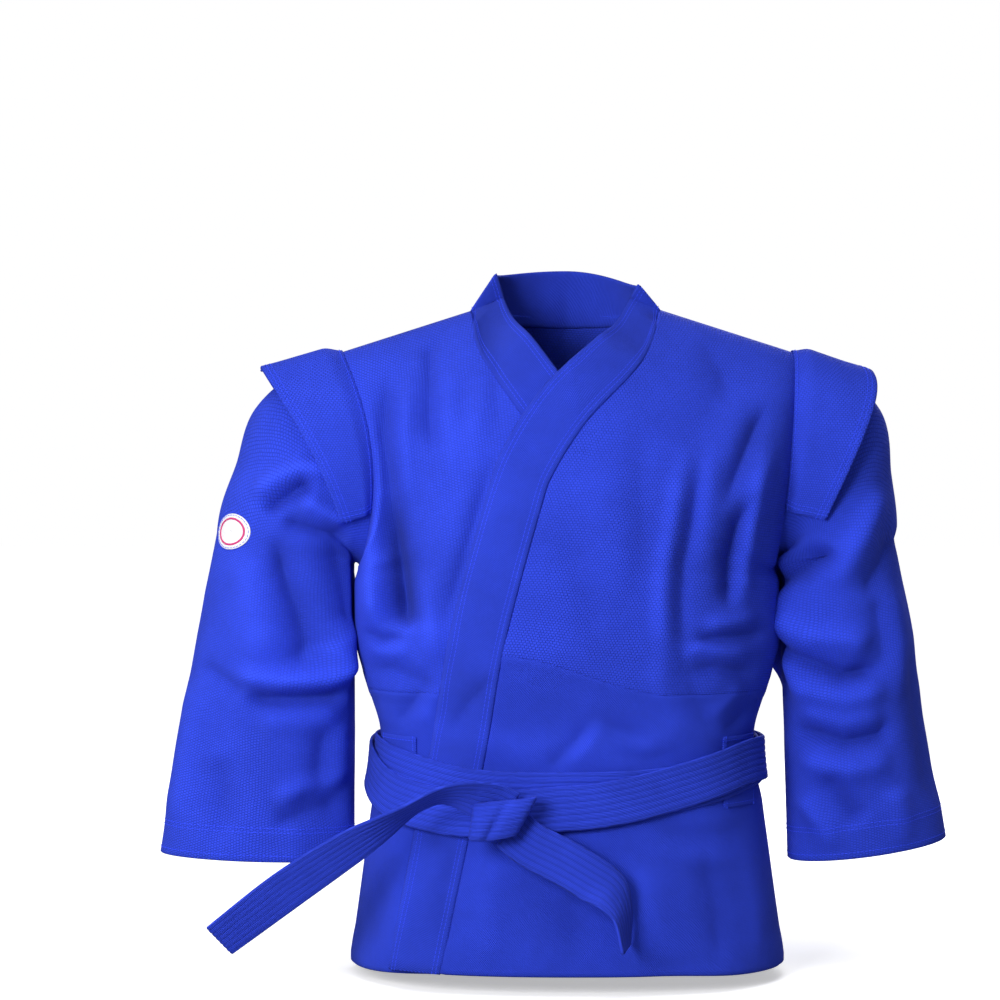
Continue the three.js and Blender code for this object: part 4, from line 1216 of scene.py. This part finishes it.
class JACKET_OT_sleeves(bpy.types.Operator):
    """Make the sleeves, the bands inside their cuffs and the badge"""
    bl_idname = "jacket.sleeves"
    bl_label = "Sleeves"

    def execute(self, context):
        place, turn = sleeve_places()
        for side in SIDES:
            body = side + "_sleeve"
            grid, bent, amount = folded_sleeve(side, place, turn)
            obj = cloth_solid(
                side + "_sleeve_cloth", bent, cloth_thick(), from_axis(bent), wrap=True,
                uv=strip_uv(grid), fold=amount, material=finish_of("sleeve"),
            )
            settle(
                obj, body, body, grid,
                wrap=True, bends=side,
            )
            normal, _ = normals_of(bent, from_axis(bent), True)
            for inset in (26, 30, 5):
                stitch(body, inset_line(bent, normal, cloth_thick(), "bottom", inset), closed=True)
            self.facing(side, turn)
        self.badge()
        return {"FINISHED"}

    def facing(self, side, turn):
        long = abs(SIDES[side]["cuff_out"][1] - ARMPIT_Z)
        place = 2 - np.linspace(FACING_HEIGHT / long, 0.004, 12)
        _, bent, _ = folded_sleeve(side, place, turn, -(cloth_thick() + FACING_THICK) / 2 - 0.4)
        obj = cloth_solid(
            side + "_cuff_band", bent, FACING_THICK, from_axis(bent), wrap=True, material=finish_of("lining"),
        )
        settle(
            obj, side + "_cuff_facing", side + "_sleeve", bent,
            wrap=True,
        )

    def badge(self):
        """An oval felt badge that follows the sleeve, with a stitched rim and a plain ring."""
        place, turn = sleeve_places()
        _, bent, _ = folded_sleeve("right", place, turn)
        normal, _ = normals_of(bent, from_axis(bent), True)
        row = int(np.argmin(np.abs(place - 1 - BADGE["along"])))
        col = int(np.argmin(np.abs(turn - math.radians(BADGE["around"]))))
        centre, out = bent[row, col], normal[row - 3:row + 4, col - 3:col + 4].mean((0, 1))
        out = out / np.linalg.norm(out)
        level = np.cross((0, 0, 1), out)
        level = level / np.linalg.norm(level)
        up = np.cross(out, level)
        near = bent[row - 14:row + 15, col - 14:col + 15].reshape(-1, 3) - centre
        flat_u, flat_v, high = near @ level, near @ up, near @ out
        around = np.linspace(0, 2 * np.pi, 65)[:-1]

        def oval(scale, stand, shares):
            u = scale * BADGE["wide"] / 2 * np.cos(around)[None, :] * shares[:, None]
            v = scale * BADGE["high"] / 2 * np.sin(around)[None, :] * shares[:, None]
            weight = np.exp(-((u[..., None] - flat_u) ** 2 + (v[..., None] - flat_v) ** 2) / 60)
            surface = (weight * high).sum(-1) / weight.sum(-1)
            place3 = centre + u[..., None] * level + v[..., None] * up
            return place3 + out * (surface + cloth_thick() / 2 + stand)[..., None]

        for name, scale, stand, thick, shares, kind in (
            ("right_badge_felt", 1.0, 0.75, 1.2, np.linspace(0.02, 1, 10), "badge"),
            ("right_badge_ring", 0.78, 1.5, 0.8, np.linspace(0.9, 1, 4), "badge_mark"),
        ):
            grid = oval(scale, stand, shares)
            facing = np.broadcast_to(out, grid.shape)
            piece = cloth_solid(name, grid, thick, facing, wrap=True, material=finish_of(kind))
            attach(piece, "right_sleeve")
        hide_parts("right_sleeve_badge")
        stitch("right_sleeve", oval(0.94, 1.4, np.array([1.0]))[0], closed=True)


class JACKET_OT_wings(bpy.types.Operator):
    """Make the shoulder wings and their linings"""
    bl_idname = "jacket.wings"
    bl_label = "Wings"

    def execute(self, context):
        across, out = np.linspace(-1, 1, 96), np.linspace(0, 1, 26)
        for side in SIDES:
            for name, node_name, stand, thick, kind, first in (
                ("_wing_cloth", "_wing", 3.2, 2.0, "body", 0.0),
                ("_wing_under", "_wing_lining", 0.6, 1.8, "lining", 0.02),
            ):
                grid = wing_grid(side, across, lerp(first, 1, out), stand)
                up = np.broadcast_to(np.array([0, 0, 1.0]), grid.shape)
                wave = 1.1 * wander(grid[..., 1] * 2, grid[..., 0] * 2, 0.7) * out[None, :]
                bent = displaced(grid, wave, up)
                taper = np.ones((len(across), 1)) * lerp(0.35, 1, smoothstep(out, 0, 0.1))[None, :]
                obj = cloth_solid(side + name, bent, thick * taper, up, material=finish_of(kind))
                settle(
                    obj, side + node_name, side + "_wing", grid,
                    bends=side,
                )
                if kind == "body":
                    normal, _ = normals_of(bent, up)
                    for edge in ("end", "top", "bottom"):
                        for inset in (4, 8):
                            stitch(side + "_wing", inset_line(bent, normal, thick, edge, inset))
                    stitch("jacket", inset_line(bent, normal, thick, "start", 2.5))
        return {"FINISHED"}


def ribbed(width_points, rows):
    """The belt's thickness across its width, as shares: a groove at each row of stitches."""
    across = np.linspace(0, 1, width_points)
    grooves = sum(np.exp(-(((across - (k + 0.5) / rows) / (0.16 / rows)) ** 2)) for k in range(rows))
    edge = 1 - 0.35 * (np.exp(-((across / 0.03) ** 2)) + np.exp(-(((1 - across) / 0.03) ** 2)))
    return (1 - 0.3 * grooves) * edge


def belt_solid(name, grid, outward, node_name, body, wrap=False):
    """A length of belt, with a groove along each row of stitches."""
    p = bpy.context.scene.jacket_belt
    thick = p.thickness / MM * ribbed(grid.shape[0], p.rows)[:, None] * np.ones((1, grid.shape[1]))
    uv = strip_uv(grid)
    # The groove depth goes in as the fold attribute, so the material paints shade along the grooves.
    groove = 30 * (thick / thick.max() - 1)
    obj = cloth_solid(
        name, grid, thick, outward, wrap=wrap, uv=uv, fold=groove, material=finish_of("belt"),
    )
    settle(obj, node_name, body, grid, wrap)


def ribbon(points, rolls, count=90):
    """A band along a line of points. Each roll turns it about its line, in degrees from lying flat."""
    points, rolls = np.array(points, float), np.radians(np.array(rolls, float))
    places = np.arange(len(points), dtype=float)
    t = np.linspace(0, len(points) - 1, count)
    path = np.stack([read(np.stack([places, points[:, k]], 1), t) for k in range(3)], -1)
    roll = read(np.stack([places, rolls], 1), t)
    tangent = np.gradient(path, axis=0)
    tangent /= np.linalg.norm(tangent, axis=1, keepdims=True)
    flat = np.cross(tangent, (0, -1, 0))
    flat /= np.linalg.norm(flat, axis=1, keepdims=True)
    face = np.cross(flat, tangent)
    side = flat * np.cos(roll)[:, None] + face * np.sin(roll)[:, None]
    normal = np.cross(tangent, side)
    share = np.linspace(-0.5, 0.5, BELT_POINTS)
    grid = path[None] + side[None] * (share * BELT_WIDTH)[:, None, None]
    return grid, np.broadcast_to(normal[None], grid.shape)


class JACKET_OT_belt(bpy.types.Operator):
    """Make the belt: two turns, the knot and two tails"""
    bl_idname = "jacket.belt"
    bl_label = "Belt"

    def execute(self, context):
        turn = np.linspace(0, 2 * np.pi, 241)[:-1][None, :]
        level = np.linspace(0.5, -0.5, BELT_POINTS)[:, None]
        knot_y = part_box("belt_knot")[1].y / MM
        knot_turn = math.atan2(KNOT_X, -knot_y)
        for name, node_name, out, dip, centre in (
            ("belt_first_turn", "belt_inner_wrap", 0, BELT_DIP, 0),
            ("belt_second_turn", "belt_outer_wrap", TURN_STEP, BELT_Z - KNOT_Z, knot_turn),
        ):
            front = np.maximum(0, np.cos(turn - centre)) ** 2
            wave = 1.2 * np.sin(3 * turn + out) + 0.8 * np.sin(7 * turn + 1 + out)
            z = BELT_Z - dip * front + wave * 0.6 + level * BELT_WIDTH
            grid = belt_ring(turn, out - 0.8, z)
            lean = level * 1.6 * np.sin(2 * turn + 0.5) + 0.5 * np.sin(11 * turn)
            out_way = from_axis(grid)
            grid = grid + out_way / np.linalg.norm(out_way, axis=-1, keepdims=True) * lean[..., None]
            belt_solid(
                name, grid, from_axis(grid), node_name, "jacket",
                wrap=True,
            )
        self.knot(knot_y)
        self.tails(knot_y)
        return {"FINISHED"}

    def knot(self, back_y):
        """A slanting loop of belt round the crossed strands, between four corners."""
        around = np.linspace(0, 2 * np.pi, 97)[:-1][:, None]
        v = np.linspace(0, 1, 27)[None, :]
        u = (1 + np.sign(np.cos(around)) * np.abs(np.cos(around)) ** 0.6) / 2
        swell = -np.sign(np.sin(around)) * np.abs(np.sin(around)) ** 0.55 * KNOT_DEEP
        front = np.maximum(0, np.sin(around)) ** 0.5
        x, z = (
            lerp(lerp(low_left, high_left, v), lerp(low_right, high_right, v), u)
            for low_left, high_left, low_right, high_right in zip(*KNOT_CORNERS)
        )
        crown = 2.6 * (1 - (2 * v - 1) ** 2) * front
        crease = 2.6 * np.exp(-(((u - 0.34 - 0.2 * v) / 0.09) ** 2)) * front
        curl = 2.2 * np.sin(3 * u + 1) * (v - 0.5) * front
        y = back_y - KNOT_DEEP - 2.5 + swell - crown + crease + curl
        grid = grid_of(x, y, z - 1.6 * np.sin(np.pi * u) * (1 - v)).transpose(1, 0, 2)
        belt_solid(
            "belt_knot_loop", grid, from_axis(grid), "belt_knot", "jacket",
            wrap=True,
        )

    def tail(self, name, points, rolls, **how):
        grid, normal = ribbon(points, rolls, **how)
        out = normal * np.sign((normal * (0, -1, 0)).sum())
        body = f"belt_{name}_tail"
        belt_solid(f"belt_{name}_end", grid, out, body, body)

    def tails(self, back_y):
        y = back_y - 11
        self.tail("long", [
            (-56, y, -444), (-66, y - 1, -438), (-82, y - 5, -432), (-100, y - 8, -428),
            (-118, y - 9, -430), (-140, y - 9, -441), (-165, y - 8, -457), (-192, y - 7, -474),
            (-246, y - 9, -510), (-303, y - 10, -553),
        ], (6, 14, 30, 52, 66, 68, 52, 36, 24, 32), count=120)
        short = (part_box("belt_short_tail")[0].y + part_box("belt_short_tail")[1].y) / 2 / MM
        self.tail("short", [
            (-52, short, -460), (-36, short - 4, -473), (-8, short - 9, -487), (16, short - 12, -501),
            (34, short - 14, -513), (44, short - 13, -532), (47, short - 12, -562),
        ], (0, 0, 4, 12, 34, 62, 78))


class JACKET_OT_patches(bpy.types.Operator):
    """Make the patches round the belt's slots"""
    bl_idname = "jacket.patches"
    bl_label = "Slot patches"

    def execute(self, context):
        for side in SIDES:
            sign = SIDES[side]["sign"]
            wide = read(HALF_WIDTH, BELT_Z)
            u, v = spread(np.linspace(0, 1, 22))[None, :], np.linspace(0, 1, 26)[:, None]
            z = BELT_Z - 8 + PATCH_LONG * (0.5 - v) + 0 * u
            x = sign * (wide * 0.968 - PATCH_WIDE * 0.72 * (1 - u)) + 0 * v
            grid = grid_of(x, front_y(side, x, z), z)
            out = front_out(grid)
            bent = displaced(grid, body_folds(x, z, "front"), out, lead=LEAD)
            normal, _ = normals_of(bent, out)
            bent = bent + normal * (cloth_thick() / 2 + 1.0)
            obj = cloth_solid(
                side + "_slot_cloth", bent, PATCH_THICK, out, uv=arc_uv(grid, "front"),
                material=finish_of("skirt"),
            )
            settle(obj, side + "_slot_patch", "jacket", grid)
            normal, _ = normals_of(bent, out)
            for edge in ("top", "bottom", "start", "end"):
                stitch("jacket", inset_line(bent, normal, PATCH_THICK, edge, 3))
        return {"FINISHED"}


def stitch_tree():
    """Geometry nodes that lay a stitch at even steps along every line."""
    tree = bpy.data.node_groups.new("seam_stitches", "GeometryNodeTree")
    face = tree.interface
    face.new_socket("Lines", in_out="INPUT", socket_type="NodeSocketGeometry")
    for name in ("Spacing", "Length", "Thickness"):
        face.new_socket(name, in_out="INPUT", socket_type="NodeSocketFloat")
    face.new_socket("Thread", in_out="INPUT", socket_type="NodeSocketMaterial")
    face.new_socket("Stitches", in_out="OUTPUT", socket_type="NodeSocketGeometry")
    into = node(tree, "NodeGroupInput", (-900, 0))
    curve = node(tree, "GeometryNodeMeshToCurve", (-700, 100))
    even = node(tree, "GeometryNodeResampleCurve", (-500, 100), mode="LENGTH")
    way = node(tree, "GeometryNodeInputTangent", (-500, -300))
    turn = node(tree, "FunctionNodeAlignRotationToVector", (-300, -300), axis="Z")
    half = node(tree, "ShaderNodeMath", (-700, -200), operation="MULTIPLY", in_1=0.5)
    thread = node(tree, "GeometryNodeMeshCylinder", (-500, -100), in_Vertices=6)
    copies = node(tree, "GeometryNodeInstanceOnPoints", (-100, 100))
    real = node(tree, "GeometryNodeRealizeInstances", (100, 100))
    paint = node(tree, "GeometryNodeSetMaterial", (300, 100))
    out = node(tree, "NodeGroupOutput", (500, 100))
    wire(
        tree, (into, "Lines", curve, "Mesh"), (curve, "Curve", even, "Curve"),
        (into, "Spacing", even, "Length"), (into, "Thickness", half, 0), (half, 0, thread, "Radius"),
        (into, "Length", thread, "Depth"), (way, 0, turn, "Vector"), (even, "Curve", copies, "Points"),
        (thread, "Mesh", copies, "Instance"), (turn, "Rotation", copies, "Rotation"),
        (copies, "Instances", real, "Geometry"), (real, "Geometry", paint, "Geometry"),
        (into, "Thread", paint, "Material"), (paint, "Geometry", out, "Stitches"),
    )
    return tree


class JACKET_OT_stitches(bpy.types.Operator):
    """Sew the stitches that show along the seams and edges"""
    bl_idname = "jacket.stitches"
    bl_label = "Stitches"

    def execute(self, context):
        p = context.scene.jacket_stitch
        tree = stitch_tree()
        keys = {s.name: s.identifier for s in tree.interface.items_tree if s.in_out == "INPUT"}
        for body, lines in seams.items():
            places, edges = [], []
            for line in lines:
                edges += [(len(places) + i, len(places) + i + 1) for i in range(len(line) - 1)]
                places += (np.asarray(line) * MM).tolist()
            mesh = bpy.data.meshes.new(body + "_seam_lines")
            mesh.from_pydata(places, edges, [])
            lines_obj = added(body + "_seam_lines", mesh)
            modifier = lines_obj.modifiers.new("stitches", "NODES")
            modifier.node_group = tree
            for name, value in (
                ("Spacing", p.spacing), ("Length", p.length), ("Thickness", p.thickness),
                ("Thread", finish_of("thread")),
            ):
                modifier[keys[name]] = value
            context.view_layer.update()
            ready = lines_obj.evaluated_get(context.evaluated_depsgraph_get())
            obj = added(body + "_stitches", bpy.data.meshes.new_from_object(ready))
            bpy.data.objects.remove(lines_obj)
            if body.endswith("_wing"):
                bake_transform(obj)
            else:
                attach(obj, body)
        return {"FINISHED"}


class JACKET_OT_stage(bpy.types.Operator):
    """Set the camera, the light and the floor"""
    bl_idname = "jacket.stage"
    bl_label = "Stage"

    def execute(self, context):
        p = context.scene.jacket_stage
        camera = bpy.data.cameras.new("view")
        camera.sensor_width, camera.lens = 36, 85.5
        eye = added("view", camera)
        eye.location = (-0.062, -2.2, -0.174)
        eye.rotation_euler = (math.radians(90), 0, 0)
        context.scene.camera = eye
        for name, power, size, place, aim in (
            ("key", p.key, 0.5, (-0.62, -1.16, 0.0), (0, -0.1, -0.28)),
            ("rear", p.rear, 0.9, (0.5, 1.5, 0.4), (0, 0.1, -0.28)),
        ):
            light = bpy.data.lights.new(name, "AREA")
            light.energy, light.size = power, size
            lamp = added(name, light)
            lamp.location = place
            way = Vector(aim) - Vector(place)
            lamp.rotation_euler = way.to_track_quat("-Z", "Y").to_euler()
        light = bpy.data.lights.new("top", "SUN")
        light.energy, light.angle = p.top, math.radians(40)
        added("top", light).rotation_euler = (math.radians(20), 0, math.radians(-30))
        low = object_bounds()[0].z - 0.012
        half = p.floor / 2
        mesh = bpy.data.meshes.new("floor")
        corners = ((-half, -half), (half, -half), (half, half), (-half, half))
        mesh.from_pydata([(x, y, low) for x, y in corners], [], [(0, 1, 2, 3)])
        mesh.materials.append(finish_of("floor"))
        added("floor", mesh)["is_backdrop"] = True
        world = context.scene.world or bpy.data.worlds.new("room")
        context.scene.world = world
        world.use_nodes = True
        tree = world.node_tree
        tree.nodes.clear()
        seen = node(
            tree, "ShaderNodeBackground", (0, 100), in_Color=(1, 1, 1.005, 1), in_Strength=BACKDROP_TONE,
        )
        lit = node(tree, "ShaderNodeBackground", (0, -100), in_Color=(0.96, 0.97, 1, 1), in_Strength=p.air)
        path = node(tree, "ShaderNodeLightPath", (0, 400))
        mix = node(tree, "ShaderNodeMixShader", (250, 0))
        out = node(tree, "ShaderNodeOutputWorld", (450, 0))
        wire(tree, (path, "Is Camera Ray", mix, 0), (lit, 0, mix, 1), (seen, 0, mix, 2), (mix, 0, out, 0))
        context.scene.view_settings.view_transform = "Standard"
        context.scene.view_settings.look = "None"
        return {"FINISHED"}


OPERATORS = (
    JACKET_OT_fronts, JACKET_OT_skirts, JACKET_OT_back, JACKET_OT_lapels, JACKET_OT_linings,
    JACKET_OT_sleeves, JACKET_OT_wings, JACKET_OT_belt, JACKET_OT_patches, JACKET_OT_stitches,
    JACKET_OT_stage,
)


class JACKET_PT_panel(bpy.types.Panel):
    """Lists the jacket's pieces and their sizes"""
    bl_idname = "JACKET_PT_panel"
    bl_label = "Wrap jacket"
    bl_space_type = "VIEW_3D"
    bl_region_type = "UI"
    bl_category = "Jacket"

    def draw(self, context):
        for name in ("jacket_cloth", "jacket_belt", "jacket_stitch", "jacket_stage"):
            group = getattr(context.scene, name)
            box = self.layout.box()
            for key in group.__annotations__:
                box.prop(group, key)
        for operator in OPERATORS:
            self.layout.operator(operator.bl_idname)


GROUPS = {
    "jacket_cloth": JacketCloth, "jacket_belt": JacketBelt,
    "jacket_stitch": JacketStitch, "jacket_stage": JacketStage,
}


def register():
    for name, group in GROUPS.items():
        bpy.utils.register_class(group)
        setattr(bpy.types.Scene, name, bpy.props.PointerProperty(type=group))
    for cls in (*OPERATORS, JACKET_PT_panel):
        bpy.utils.register_class(cls)


def unregister():
    for cls in reversed((*OPERATORS, JACKET_PT_panel)):
        bpy.utils.unregister_class(cls)
    for name, group in GROUPS.items():
        delattr(bpy.types.Scene, name)
        bpy.utils.unregister_class(group)


def main():
    register()
    for operator in OPERATORS:
        family, name = operator.bl_idname.split(".")
        getattr(getattr(bpy.ops, family), name)()


if __name__ == "__main__":
    main()
